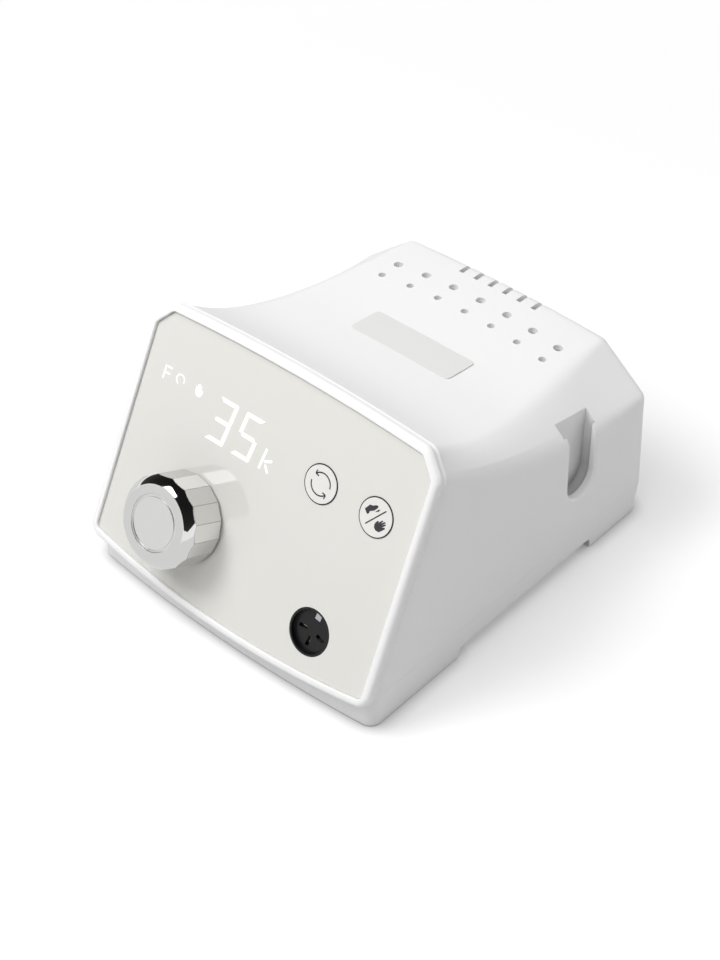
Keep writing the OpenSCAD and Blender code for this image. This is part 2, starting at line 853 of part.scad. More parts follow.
// Panel with its openings and the bosses that carry board and socket
encoder_bush_r = 3.45;
board_hole_in = 4;
board_boss_r = 2.6;
boss_root = 0.5;
board_screw_deep = 6;
board_screw_len = 5.5;
board_head_r = 2;
board_head_h = 1.5;
board_hole_clear = 0.3;
ear_hole_stop = 1.2;
ear_screw_len = 4.6;
ear_u = 11.4;
ear_r = 3.2;
flange_t = 1.8;
flange_r = socket_hole_r + 1.6;
flange_clear = 0.5;
flange_front = panel_t + 2;
module at_board_holes() {
    u = board_half - board_hole_in;
    top = board_top - board_hole_in;
    for (p = [[-u, top], [u, top], [-u, board_low + board_hole_in], [u, board_mid + board_hole_in]])
        translate([p.x, p.y, 0])
            children();
}
module at_ears() {
    for (side = [-1, 1])
        translate([socket_u + side * ear_u, socket_v, 0])
            children();
}
module at_keys() {
    for (u = [direction_u, mode_u])
        translate([u, key_v, 0])
            children();
}
module front_panel() color("gainsboro") {
    on_face()
        difference() {
            union() {
                translate([0, 0, -panel_t])
                    linear_extrude(panel_t)
                        polygon(face_outline(0));
                at_board_holes()
                    translate([0, 0, -board_w])
                        cylinder(r = board_boss_r, h = board_w - panel_t + boss_root);
                at_ears()
                    translate([0, 0, -flange_front])
                        cylinder(r = ear_r, h = flange_front - panel_t + boss_root);
            }
            translate([knob_u, knob_v, -panel_t - overcut])
                cylinder(r = encoder_bush_r + 2 * fit, h = panel_t + 2 * overcut);
            at_keys()
                translate([0, 0, -panel_t - overcut])
                    cylinder(r = key_r + key_gap, h = panel_t + 2 * overcut);
            translate([socket_u, socket_v, -flange_front - overcut])
                cylinder(r = socket_hole_r, h = flange_front + 2 * overcut);
            at_board_holes()
                translate([0, 0, -board_w - overcut])
                    cylinder(r = board_screw_r + fit, h = board_screw_deep + overcut);
            at_ears()
                translate([0, 0, -flange_front - overcut])
                    cylinder(r = board_screw_r + fit, h = flange_front - ear_hole_stop + overcut);
        }
}

module top_plate() color("lightgray") {
    on_plate()
        translate([0, 0, plate_proud - plate_t])
            linear_extrude(plate_t)
                plate_shape(0);
}

// Knob: flats around the side, a sloping shoulder and a face with a sunk insert
encoder_roof = 5;
hub_r = 5;
hub_foot = 3.6;
shoulder_steps = 5;
shaft_r = 3;
shaft_flat = 1.5;
shaft_spare = 0.2;
shaft_clear = 0.02;
knob_roof_t = 2.1;
knob_roof = knob_h - insert_t - knob_roof_t;
shaft_short = 1;
shaft_top = knob_roof - shaft_short;
module at_knob() {
    on_face()
        translate([knob_u, knob_v, 0])
            children();
}
module knob_profile() {
    rim = [knob_face_r - knob_edge, knob_h - knob_edge];
    edge = [for (a = [40 : -10 : 0]) rim + knob_edge * [sin(a), cos(a)]];
    polygon(concat(
        [[0, knob_gap], [knob_r, knob_gap]],
        bowed([knob_r, knob_h - knob_shoulder], edge[0], knob_bulge, shoulder_steps),
        [for (k = [1 : len(edge) - 1]) edge[k]],
        [[0, knob_h]]
    ));
}
module d_shape(r, flat) {
    intersection() {
        circle(r);
        translate([-r, -r])
            square([2 * r, r + flat]);
    }
}
module speed_knob() color("silver") {
    at_knob()
        difference() {
            intersection() {
                linear_extrude(knob_h)
                    polygon([for (k = [0 : knob_flats - 1]) turned([knob_r, 0], k * 360 / knob_flats)]);
                rotate_extrude()
                    knob_profile();
            }
            difference() {
                cylinder(r = knob_r * cos(180 / knob_flats) - knob_wall, h = knob_roof);
                translate([0, 0, hub_foot])
                    cylinder(r = hub_r, h = knob_roof);
            }
            linear_extrude(shaft_top + shaft_spare)
                d_shape(shaft_r + shaft_clear, shaft_flat + shaft_clear);
            translate([0, 0, knob_h - insert_t])
                cylinder(r = insert_r + fit, h = insert_t + overcut);
        }
}

insert_sink = 0.1;
groove_in = 0.5;
groove_w = 0.5;
groove_deep = 0.25;
module knob_insert() color("lightgray") {
    at_knob()
        translate([0, 0, knob_h - insert_t])
            difference() {
                cylinder(r = insert_r, h = insert_t - insert_sink);
                translate([0, 0, insert_t - insert_sink - groove_deep])
                    difference() {
                        cylinder(r = insert_r - groove_in, h = insert_t);
                        cylinder(r = insert_r - groove_in - groove_w, h = insert_t);
                    }
            }
}

// Rotary encoder with a push switch, on the control board behind the knob
encoder_side = 13;
encoder_cavity_r = 4.6;
encoder_floor = board_w - 0.5;
encoder_cover = 1;
bush_top = 2.7;
bush_root = 0.5;
collar_r = 4.1;
collar_gap = 0.3;
actuator_t = 1;
actuator_gap = 0.1;
actuator_clear = 0.2;
push_spare = 0.3;
collar_bottom = encoder_floor - knob_travel - push_spare - actuator_t - actuator_gap;
module encoder_shaft() color("gray") {
    at_knob() {
        difference() {
            translate([0, 0, -collar_bottom])
                cylinder(r = shaft_r, h = collar_bottom + shaft_top);
            translate([-shaft_r, shaft_flat, bush_top])
                cube([2 * shaft_r, shaft_r, shaft_top]);
        }
        translate([0, 0, -collar_bottom])
            cylinder(r = collar_r, h = collar_bottom - encoder_roof - encoder_cover - collar_gap);
    }
}
module encoder_actuator() color("ivory") {
    at_knob()
        translate([0, 0, -collar_bottom - actuator_gap - actuator_t])
            cylinder(r = encoder_cavity_r - actuator_clear, h = actuator_t);
}
module encoder_body() color("darkslategray") {
    at_knob()
        difference() {
            union() {
                translate([-encoder_side / 2, -encoder_side / 2, -board_w])
                    cube([encoder_side, encoder_side, board_w - encoder_roof]);
                translate([0, 0, -encoder_roof - bush_root])
                    cylinder(r = encoder_bush_r, h = encoder_roof + bush_root + bush_top);
            }
            translate([0, 0, -encoder_floor])
                cylinder(r = encoder_cavity_r, h = encoder_floor - encoder_roof - encoder_cover);
            translate([0, 0, -encoder_roof - 2 * encoder_cover])
                cylinder(r = shaft_r + fit, h = big);
        }
}
washer_t = 0.5;
washer_r = 6.2;
nut_r = 5.7;
nut_t = 1.9;
module encoder_washer() color("silver") {
    at_knob()
        difference() {
            cylinder(r = washer_r, h = washer_t);
            translate([0, 0, -overcut])
                cylinder(r = encoder_bush_r + fit, h = washer_t + 2 * overcut);
        }
}
module encoder_nut() color("silver") {
    at_knob()
        translate([0, 0, washer_t])
            difference() {
                cylinder(r = nut_r, h = nut_t, $fn = 6);
                translate([0, 0, -overcut])
                    cylinder(r = encoder_bush_r + fit, h = nut_t + 2 * overcut);
            }
}

// Keys and the switches that they press
switch_side = 6;
switch_body_h = 3.5;
switch_stem_r = 1.7;
switch_stem_len = 2.4;
switch_stem_in = 0.8;
switch_stem_clear = 0.1;
switch_spare = 0.3;
stem_top = board_w - switch_body_h + switch_stem_in - switch_stem_len;
key_flange_r = key_r + key_gap + 0.9;
key_flange_t = 1;
key_flange_gap = 0.15;
key_post_r = 2;
module key_at(u) {
    on_face()
        translate([u, key_v, 0]) {
            translate([0, 0, -panel_t - key_flange_gap - key_flange_t]) {
                cylinder(r = key_flange_r, h = key_flange_t);
                cylinder(r = key_r, h = key_flange_t + key_flange_gap + panel_t + key_proud);
            }
            translate([0, 0, -stem_top])
                cylinder(r = key_post_r, h = stem_top - panel_t);
        }
}
module stem_at(u) {
    on_face()
        translate([u, key_v, -board_w + switch_body_h - switch_stem_in])
            cylinder(r = switch_stem_r, h = switch_stem_len);
}
module direction_key() color("gainsboro") key_at(direction_u);
module mode_key() color("gainsboro") key_at(mode_u);
module direction_switch_stem() color("black") stem_at(direction_u);
module mode_switch_stem() color("black") stem_at(mode_u);
module key_switches() color("dimgray") {
    on_face()
        at_keys()
            difference() {
                translate([-switch_side / 2, -switch_side / 2, -board_w])
                    cube([switch_side, switch_side, switch_body_h]);
                translate([0, 0, -board_w + switch_body_h - switch_stem_in - key_travel - switch_spare])
                    cylinder(r = switch_stem_r + switch_stem_clear, h = switch_body_h);
            }
}

// Control board and what sits on it
display_u = -17.5;
display_v = 60;
display_w = 44;
display_h = 24;
display_front = 4.5;
diffuser_t = 1;
digit_places = [-10, 4];
digit_well_w = 10;
digit_well_h = 19;
digit_well_floor = 3;
board_step_u = 8;
module control_board() color("darkgreen") {
    on_face()
        translate([0, 0, -board_w - board_t])
            difference() {
                linear_extrude(board_t)
                    polygon([
                        [-board_half, board_low], [board_step_u, board_low], [board_step_u, board_mid],
                        [board_half, board_mid], [board_half, board_top], [-board_half, board_top]
                    ]);
                at_board_holes()
                    translate([0, 0, -1])
                        cylinder(r = board_screw_r + board_hole_clear, h = big);
            }
}
module display_module() color("black") {
    on_face()
        translate([display_u, display_v, -board_w])
            difference() {
                translate([-display_w / 2, -display_h / 2, 0])
                    cube([display_w, display_h, board_w - display_front - diffuser_t]);
                for (u = digit_places)
                    translate([u - digit_well_w / 2, -digit_well_h / 2, digit_well_floor])
                        cube([digit_well_w, digit_well_h, board_w]);
            }
}
module display_diffuser() color("white") {
    on_face()
        translate([display_u - display_w / 2, display_v - display_h / 2, -display_front - diffuser_t])
            cube([display_w, display_h, diffuser_t]);
}
module board_screws() color("silver") {
    on_face()
        at_board_holes()
            translate([0, 0, -board_w - board_t]) {
                cylinder(r = board_screw_r, h = board_screw_len);
                translate([0, 0, -board_head_h])
                    cylinder(r = board_head_r, h = board_head_h);
            }
}
connector_u = -29;
connector_v = 40;
connector_w = 14;
connector_t = 5;
connector_h = 6;
connector_wall = 1.5;
module board_connector() color("ivory") {
    on_face()
        translate([connector_u, connector_v, -board_w - board_t - connector_t])
            linear_extrude(connector_t)
                difference() {
                    square([connector_w, connector_h], center = true);
                    square([connector_w, connector_h] - 2 * connector_wall * [1, 1], center = true);
                }
}

// Round three-contact socket for the handpiece lead
contact_clear = 0.25;
socket_gap = 0.1;
socket_front = 0.1;
socket_body_r = socket_hole_r - socket_gap;
insulator_step = 0.5;
insulator_r = socket_r - insulator_step;
insulator_t = 9;
tail_len = 1;
shield_angle = 84;
contact_angles = [98, 180, 262] + [1, 1, 1] * shield_angle;
shield_w = 2.4;
shield_t = 0.4;
shield_foot = 3.2;
shield_top = 1.2;
shield_clear = 0.1;
module at_socket() {
    on_face()
        translate([socket_u, socket_v, 0])
            children();
}
module radial_block(r0, r1, width, w0, w1) {
    translate([r0, -width / 2, w0])
        cube([r1 - r0, width, w1 - w0]);
}
module shield_slot() {
    rotate(shield_angle)
        radial_block(
            socket_r - shield_foot - shield_clear, socket_body_r + 1,
            shield_w + 2 * shield_clear, -socket_depth - tail_len, -shield_top + shield_clear
        );
}
module socket_housing() color("black") {
    at_socket()
        difference() {
            union() {
                translate([0, 0, -socket_depth])
                    cylinder(r = socket_body_r, h = socket_depth - socket_front);
                translate([0, 0, -flange_front - flange_t]) {
                    cylinder(r = flange_r, h = flange_t);
                    for (side = [-1, 1])
                        translate([side * ear_u, 0, 0])
                            cylinder(r = ear_r, h = flange_t);
                    translate([-ear_u, -ear_r, 0])
                        cube([2 * ear_u, 2 * ear_r, flange_t]);
                }
            }
            translate([0, 0, -socket_recess])
                cylinder(r = socket_r, h = socket_depth);
            translate([0, 0, -socket_depth - overcut])
                cylinder(r = insulator_r + fit, h = socket_depth);
            shield_slot();
            for (side = [-1, 1])
                translate([side * ear_u, 0, -flange_front - flange_t - overcut])
                    cylinder(r = board_screw_r + board_hole_clear, h = flange_t + 2 * overcut);
        }
}
module socket_insulator() color("black") {
    at_socket()
        difference() {
            translate([0, 0, -socket_recess - insulator_t])
                cylinder(r = insulator_r, h = insulator_t);
            for (a = contact_angles)
                rotate(a)
                    radial_block(
                        contact_r - contact_len / 2, contact_r + contact_len / 2, contact_w,
                        -socket_depth, 0
                    );
            shield_slot();
        }
}
module socket_contacts() color("gold") {
    at_socket()
        for (a = contact_angles)
            rotate(a)
                radial_block(
                    contact_r - contact_len / 2 + contact_clear, contact_r + contact_len / 2 - contact_clear,
                    contact_w - 2 * contact_clear, -socket_depth - tail_len, -socket_recess - contact_w
                );
}
module socket_shield() color("silver") {
    at_socket()
        rotate(shield_angle) {
            radial_block(
                socket_r + shield_clear, socket_r + shield_clear + shield_t, shield_w,
                -socket_depth - tail_len, -shield_top
            );
            radial_block(
                socket_r - shield_foot, socket_r + shield_clear + shield_t, shield_w,
                -socket_recess - shield_t - shield_clear, -socket_recess - shield_clear
            );
        }
}
module socket_screws() color("silver") {
    on_face()
        at_ears()
            translate([0, 0, -flange_front - flange_t]) {
                cylinder(r = board_screw_r, h = ear_screw_len);
                translate([0, 0, -board_head_h])
                    cylinder(r = board_head_r, h = board_head_h);
            }
}

// Power board and its parts
board_top_z = power_z + board_t;
module on_power_board(x, y) {
    translate([x, power_y + y, board_top_z])
        children();
}
module power_board() color("darkgreen") {
    difference() {
        translate([-power_w / 2, power_y, power_z])
            cube([power_w, power_len, board_t]);
        at_power_holes()
            cylinder(r = board_screw_r + board_hole_clear, h = big);
    }
}
module power_board_screws() color("silver") {
    at_power_holes()
        translate([0, 0, board_top_z]) {
            translate([0, 0, -board_screw_len])
                cylinder(r = board_screw_r, h = board_screw_len);
            cylinder(r = board_head_r, h = board_head_h);
        }
}
core_w = 33;
core_len = 12;
core_h = 26;
core_x = -24;
core_y = 32;
leg_w = 6;
core_foot = 3;
winding_clear = 0.3;
winding_out = 5;
bobbin_w = 24;
bobbin_t = 4;
module transformer_core() color("dimgray") {
    on_power_board(core_x - core_w / 2, core_y - core_len / 2)
        difference() {
            translate([0, 0, core_foot])
                cube([core_w, core_len, core_h]);
            for (x = [leg_w, core_w / 2 + leg_w])
                translate([x, -overcut, core_foot + leg_w])
                    cube([core_w / 2 - 2 * leg_w, core_len + 2 * overcut, core_h - 2 * leg_w]);
        }
}
module transformer_winding() color("goldenrod") {
    half_w = core_w / 2 - leg_w - winding_clear;
    half_len = core_len / 2 + winding_out;
    hole_w = leg_w + winding_clear;
    hole_len = core_len / 2 + winding_clear;
    foot_h = core_foot + leg_w + 2 * winding_clear;
    on_power_board(core_x, core_y)
        difference() {
            union() {
                translate([-half_w, -half_len, core_foot + leg_w + winding_clear])
                    cube([2 * half_w, 2 * half_len, core_h - 2 * leg_w - 2 * winding_clear]);
                for (y = [-half_len, half_len - bobbin_t])
                    translate([-bobbin_w / 2, y, 0])
                        cube([bobbin_w, bobbin_t, foot_h]);
            }
            translate([-hole_w, -hole_len, 0])
                cube([2 * hole_w, 2 * hole_len, big]);
        }
}
choke_r = 9;
choke_hole_r = 4;
choke_t = 8;
choke_x = 22;
choke_y = 56;
module filter_choke() color("peru") {
    on_power_board(choke_x, choke_y)
        translate([0, 0, choke_r])
            rotate([90, 0, 0])
                difference() {
                    cylinder(r = choke_r, h = choke_t, center = true);
                    cylinder(r = choke_hole_r, h = 2 * choke_t, center = true);
                }
}
cap_r = 8;
cap_h = 26;
cap_places = [10, 30];
cap_y = 36;
cap_groove = 0.6;
cap_groove_z = 2;
cap_edge = 1;
module smoothing_capacitors() color("navy") {
    for (x = cap_places)
        on_power_board(x, cap_y)
            rotate_extrude()
                polygon([
                    [0, 0], [cap_r, 0], [cap_r, cap_groove_z],
                    [cap_r - cap_groove, cap_groove_z + cap_groove],
                    [cap_r - cap_groove, cap_groove_z + 2 * cap_groove],
                    [cap_r, cap_groove_z + 3 * cap_groove],
                    [cap_r, cap_h - cap_edge], [cap_r - cap_edge, cap_h], [0, cap_h]
                ]);
}
fin_count = 7;
fin_pitch = 6;
fin_t = 1.6;
fin_len = 12;
sink_h = 28;
sink_t = 3;
sink_y = 8;
sink_w = (fin_count - 1) * fin_pitch + fin_t;
module heatsink() color("silver") {
    on_power_board(-sink_w / 2, sink_y) {
        cube([sink_w, sink_t, sink_h]);
        for (i = [0 : fin_count - 1])
            translate([i * fin_pitch, 0, 0])
                cube([fin_t, fin_len, sink_h]);
    }
}
transistor_places = [-12, 12];
transistor_size = [10, 4.5, 15];
transistor_z = 6;
transistor_gap = 0.1;
lead_places = [-2.5, 0, 2.5];
lead_size = [0.8, 0.5, 7];
module power_transistors() color("black") {
    back = -transistor_gap - transistor_size.y;
    for (x = transistor_places)
        on_power_board(x, sink_y) {
            translate([-transistor_size.x / 2, back, transistor_z])
                cube(transistor_size);
            for (p = lead_places)
                translate([p - lead_size.x / 2, back / 2, 0])
                    cube(lead_size);
        }
}
fuse_x = -30;
fuse_y = 58;
fuse_z = 4;
fuse_r = 2.6;
fuse_len = 20;
clip_size = [3, 2, 3];
module board_fuse() color("lightblue") {
    on_power_board(fuse_x, fuse_y) {
        translate([0, 0, fuse_z])
            rotate([0, 90, 0])
                cylinder(r = fuse_r, h = fuse_len);
        for (x = [0, fuse_len - clip_size.x])
            translate([x, -clip_size.y / 2, 0])
                cube(clip_size);
    }
}

// Flat cable from the control board down to the power board
cable_t = 0.8;
cable_w = 11;
cable_gap = 0.1;
cable_start_w = -board_w - board_t - connector_t - cable_gap;
cable_start_z = face_z(connector_v, cable_start_w);
cable_start = [front_y(cable_start_z, cable_start_w), cable_start_z];
cable_lead = 22;
plug_h = 6;
plug_y = 3.5;
cable_end = [power_y + plug_y, board_top_z + plug_h + cable_gap];
function cable_point(t) = let (
    a = cable_start,
    b = cable_start + cable_lead * [cos(face_lean), -sin(face_lean)],
    c = cable_end + [0, cable_lead],
    d = cable_end
) a * pow(1 - t, 3) + 3 * b * t * pow(1 - t, 2) + 3 * c * pow(t, 2) * (1 - t) + d * pow(t, 3);
cable_steps = 16;
cable_path = [for (i = [0 : cable_steps]) cable_point(i / cable_steps)];
function cable_side(k) = [
    for (i = [0 : cable_steps])
        let (e = unit(cable_path[min(cable_steps, i + 1)] - cable_path[max(0, i - 1)]))
        cable_path[i] + k * cable_t / 2 * [-e.y, e.x]
];
module ribbon_cable() color("lightgray") {
    right_side = cable_side(-1);
    translate([connector_u - cable_w / 2, 0, 0])
        rotate([90, 0, 90])
            linear_extrude(cable_w)
                polygon(concat(cable_side(1), [for (i = [cable_steps : -1 : 0]) right_side[i]]));
}
module power_connector() color("ivory") {
    on_power_board(connector_u - connector_w / 2, plug_y - connector_h / 2)
        cube([connector_w, connector_h, plug_h]);
}

// Mains inlet for a removable two-pole lead
inlet_depth = 20;
inlet_mouth_r = 4.2;
inlet_mouth_deep = 14;
inlet_flange_w = 1.8;
inlet_flange_t = 1.6;
inlet_flange_r = 1.5;
pin_pitch = 8.6;
pin_r = 1.2;
pin_short = 2;
pin_tail = 5;
module inlet_mouth() {
    for (x = [-1, 1])
        translate([x * pin_pitch / 2, 0])
            circle(inlet_mouth_r);
    square([pin_pitch, 2 * inlet_mouth_r], center = true);
}
module inlet_flange() {
    w = inlet_w + 2 * inlet_flange_w;
    h = inlet_h + 2 * inlet_flange_w;
    square([w, h - 2 * inlet_flange_r], center = true);
    square([w - 2 * inlet_flange_r, h], center = true);
    for (x = [-1, 1], y = [-1, 1])
        translate([x * (w / 2 - inlet_flange_r), y * (h / 2 - inlet_flange_r)])
            circle(inlet_flange_r);
}
module mains_inlet() color("black") {
    at_rear(inlet_x)
        difference() {
            union() {
                translate([-inlet_w / 2, -inlet_h / 2, -inlet_depth])
                    cube([inlet_w, inlet_h, inlet_depth + seam]);
                translate([0, 0, seam])
                    linear_extrude(inlet_flange_t)
                        inlet_flange();
            }
            translate([0, 0, -inlet_mouth_deep])
                linear_extrude(big)
                    inlet_mouth();
            for (x = [-1, 1])
                translate([x * pin_pitch / 2, 0, -inlet_depth - overcut])
                    cylinder(r = pin_r + fit, h = inlet_depth);
        }
}
module inlet_pins() color("silver") {
    at_rear(inlet_x)
        for (x = [-1, 1])
            translate([x * pin_pitch / 2, 0, -inlet_depth - pin_tail])
                cylinder(r = pin_r, h = inlet_depth + pin_tail - pin_short);
}

// Rocker switch, shown in its off position
rocker_w = 9.6;
rocker_dip = 1.2;
rocker_keel = 4.5;
rocker_keel_half = 2.2;
rocker_clear = 0.3;
rocker_pin_r = 1.2;
rocker_pin_len = 1.2;
rocker_swing = rocker_half * cos(rocker_throw / 2) + rocker_out * sin(rocker_throw / 2);
switch_depth = 14;
switch_flange = 1.2;
switch_flange_t = 1.5;
module at_switch() {
    at_rear(rocker_x)
        children();
}
module on_pivot() {
    translate([0, 0, -rocker_pivot_in])
        rotate([0, 90, 0])
            children();
}
module switch_housing() color("black") {
    well_w = rocker_w + 2 * rocker_clear;
    well_h = 2 * (rocker_swing + rocker_clear);
    well_deep = rocker_pivot_in + norm([rocker_keel, rocker_keel_half]) + rocker_clear;
    pin_span = rocker_w + 2 * rocker_pin_len;
    at_switch()
        difference() {
            union() {
                translate([-switch_w / 2, -switch_h / 2, -switch_depth])
                    cube([switch_w, switch_h, switch_depth + seam]);
                translate([-switch_w / 2 - switch_flange, -switch_h / 2 - switch_flange, seam])
                    cube([switch_w + 2 * switch_flange, switch_h + 2 * switch_flange, switch_flange_t]);
            }
            translate([-well_w / 2, -well_h / 2, -well_deep])
                cube([well_w, well_h, well_deep + switch_depth]);
            on_pivot()
                cylinder(r = rocker_pin_r + fit, h = pin_span + 2 * rocker_clear, center = true);
        }
}
module power_rocker() color("dimgray") {
    at_switch()
        on_pivot()
            rotate(-rocker_throw / 2) {
                linear_extrude(rocker_w, center = true)
                    polygon([
                        [-rocker_out, -rocker_half], [rocker_dip - rocker_out, 0], [-rocker_out, rocker_half],
                        [0, rocker_half], [rocker_keel, rocker_keel_half],
                        [rocker_keel, -rocker_keel_half], [0, -rocker_half]
                    ]);
                cylinder(r = rocker_pin_r, h = rocker_w + 2 * rocker_pin_len, center = true);
            }
}
terminal_w = 4.8;
terminal_t = 0.8;
terminal_len = 7;
terminal_pitch = 7;
module switch_terminals() color("silver") {
    at_switch()
        for (y = [-1, 1] * terminal_pitch / 2)
            translate([-terminal_w / 2, y - terminal_t / 2, -switch_depth - terminal_len])
                cube([terminal_w, terminal_t, terminal_len]);
}

// Jack for the foot pedal
jack_side = 11;
jack_end = 3;
jack_gap = 0.7;
jack_out = 3.2;
jack_nut_t = 2;
jack_nut_r = 6.2;
notch_in = 1.4;
notch_w = 1.2;
notch_deep = 1;
module pedal_jack() color("black") {
    front = wall + jack_gap;
    at_rear(jack_x)
        difference() {
            union() {
                translate([-jack_side / 2, -jack_side / 2, -jack_depth - jack_end])
                    cube([jack_side, jack_side, jack_depth + jack_end - front]);
                translate([0, 0, -front - jack_gap])
                    cylinder(r = jack_bush_r, h = front + jack_gap + jack_out);
            }
            translate([0, 0, jack_out - jack_depth])
                cylinder(r = jack_r, h = big);
        }
}
module pedal_jack_nut() color("silver") {
    at_rear(jack_x)
        translate([0, 0, seam])
            difference() {
                cylinder(r = jack_nut_r, h = jack_nut_t);
                translate([0, 0, -overcut])
                    cylinder(r = jack_bush_r + fit, h = jack_nut_t + 2 * overcut);
                for (a = [0, 180])
                    rotate(a)
                        translate([jack_nut_r - notch_in, -notch_w / 2, jack_nut_t - notch_deep])
                            cube([jack_nut_r, notch_w, jack_nut_t]);
            }
}

upper_shell();
base_tray();
front_frame();
front_panel();
top_plate();
rubber_feet();
housing_screws();
speed_knob();
knob_insert();
encoder_shaft();
encoder_actuator();
encoder_body();
encoder_washer();
encoder_nut();
direction_key();
mode_key();
direction_switch_stem();
mode_switch_stem();
key_switches();
control_board();
display_module();
display_diffuser();
board_screws();
board_connector();
socket_housing();
socket_insulator();
socket_contacts();
socket_shield();
socket_screws();
power_board();
power_board_screws();
transformer_core();
transformer_winding();
filter_choke();
smoothing_capacitors();
heatsink();
power_transistors();
board_fuse();
ribbon_cable();
power_connector();
mains_inlet();
inlet_pins();
switch_housing();
power_rocker();
switch_terminals();
pedal_jack();
pedal_jack_nut();
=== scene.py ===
import json
import math

import bmesh
import bpy
from mathutils import Matrix, Vector


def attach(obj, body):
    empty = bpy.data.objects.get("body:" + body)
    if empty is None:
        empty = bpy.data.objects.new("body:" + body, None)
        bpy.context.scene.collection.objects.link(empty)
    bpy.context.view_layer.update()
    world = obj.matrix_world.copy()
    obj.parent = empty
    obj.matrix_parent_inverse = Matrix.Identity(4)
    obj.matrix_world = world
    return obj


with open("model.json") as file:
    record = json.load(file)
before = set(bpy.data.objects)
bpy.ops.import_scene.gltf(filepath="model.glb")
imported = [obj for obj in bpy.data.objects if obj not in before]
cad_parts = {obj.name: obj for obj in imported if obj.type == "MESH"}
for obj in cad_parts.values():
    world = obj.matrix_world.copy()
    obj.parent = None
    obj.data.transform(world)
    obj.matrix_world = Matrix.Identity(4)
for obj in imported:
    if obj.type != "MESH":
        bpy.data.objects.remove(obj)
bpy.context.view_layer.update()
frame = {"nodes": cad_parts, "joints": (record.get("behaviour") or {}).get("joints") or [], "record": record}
print("stage: frame loaded")

mm = 0.001
scene = bpy.context.scene


def linear(code):
    # sRGB hex to the linear colour that shaders take
    parts = [int(code[i:i + 2], 16) / 255 for i in (1, 3, 5)]
    return [p / 12.92 if p <= 0.04045 else ((p + 0.055) / 1.055) ** 2.4 for p in parts] + [1.0]


def shaded(code, factor):
    return [channel * factor for channel in linear(code)[:3]] + [1.0]


def addNode(tree, kind, inputs, **settings):
    # one node with its settings, its values and its links
    node = tree.nodes.new(kind)
    for name, value in settings.items():
        setattr(node, name, value)
    for socket, value in inputs.items():
        if isinstance(value, bpy.types.NodeSocket):
            tree.links.new(value, node.inputs[socket])
        else:
            node.inputs[socket].default_value = value
    return node


def newMaterial(name):
    # a material whose node tree is still empty
    material = bpy.data.materials.new(name)
    material.use_nodes = True
    material.node_tree.nodes.clear()
    return material


# The panel's own axes: across, up the slope and out of the face, from the axis that the knob turns about
panel = {
    "knobAcross": -26.5,
    "knobUp": 22.5,
    "keysUp": 59.5,
    "directionKeyAcross": 22.2,
    "modeKeyAcross": 46.3,
    "keyProud": 0.3,
    "keyRadius": 6.55,
    "keyGap": 0.4,
}
knobJoint = next(joint for joint in frame["joints"] if joint["name"] == "knob_turn")
outward = Vector(knobJoint["axis"]).normalized()
across = Vector((1, 0, 0))
upward = outward.cross(across)
knobPlace = Vector(knobJoint["pos_m"])
panelOrigin = knobPlace - (across * panel["knobAcross"] + upward * panel["knobUp"]) * mm
panelPlace = Matrix.Translation(panelOrigin) @ Matrix((across, upward, outward)).transposed().to_4x4()
panelPlace = panelPlace @ Matrix.Scale(mm, 4)
leanAngle = math.atan2(upward.y, upward.z)


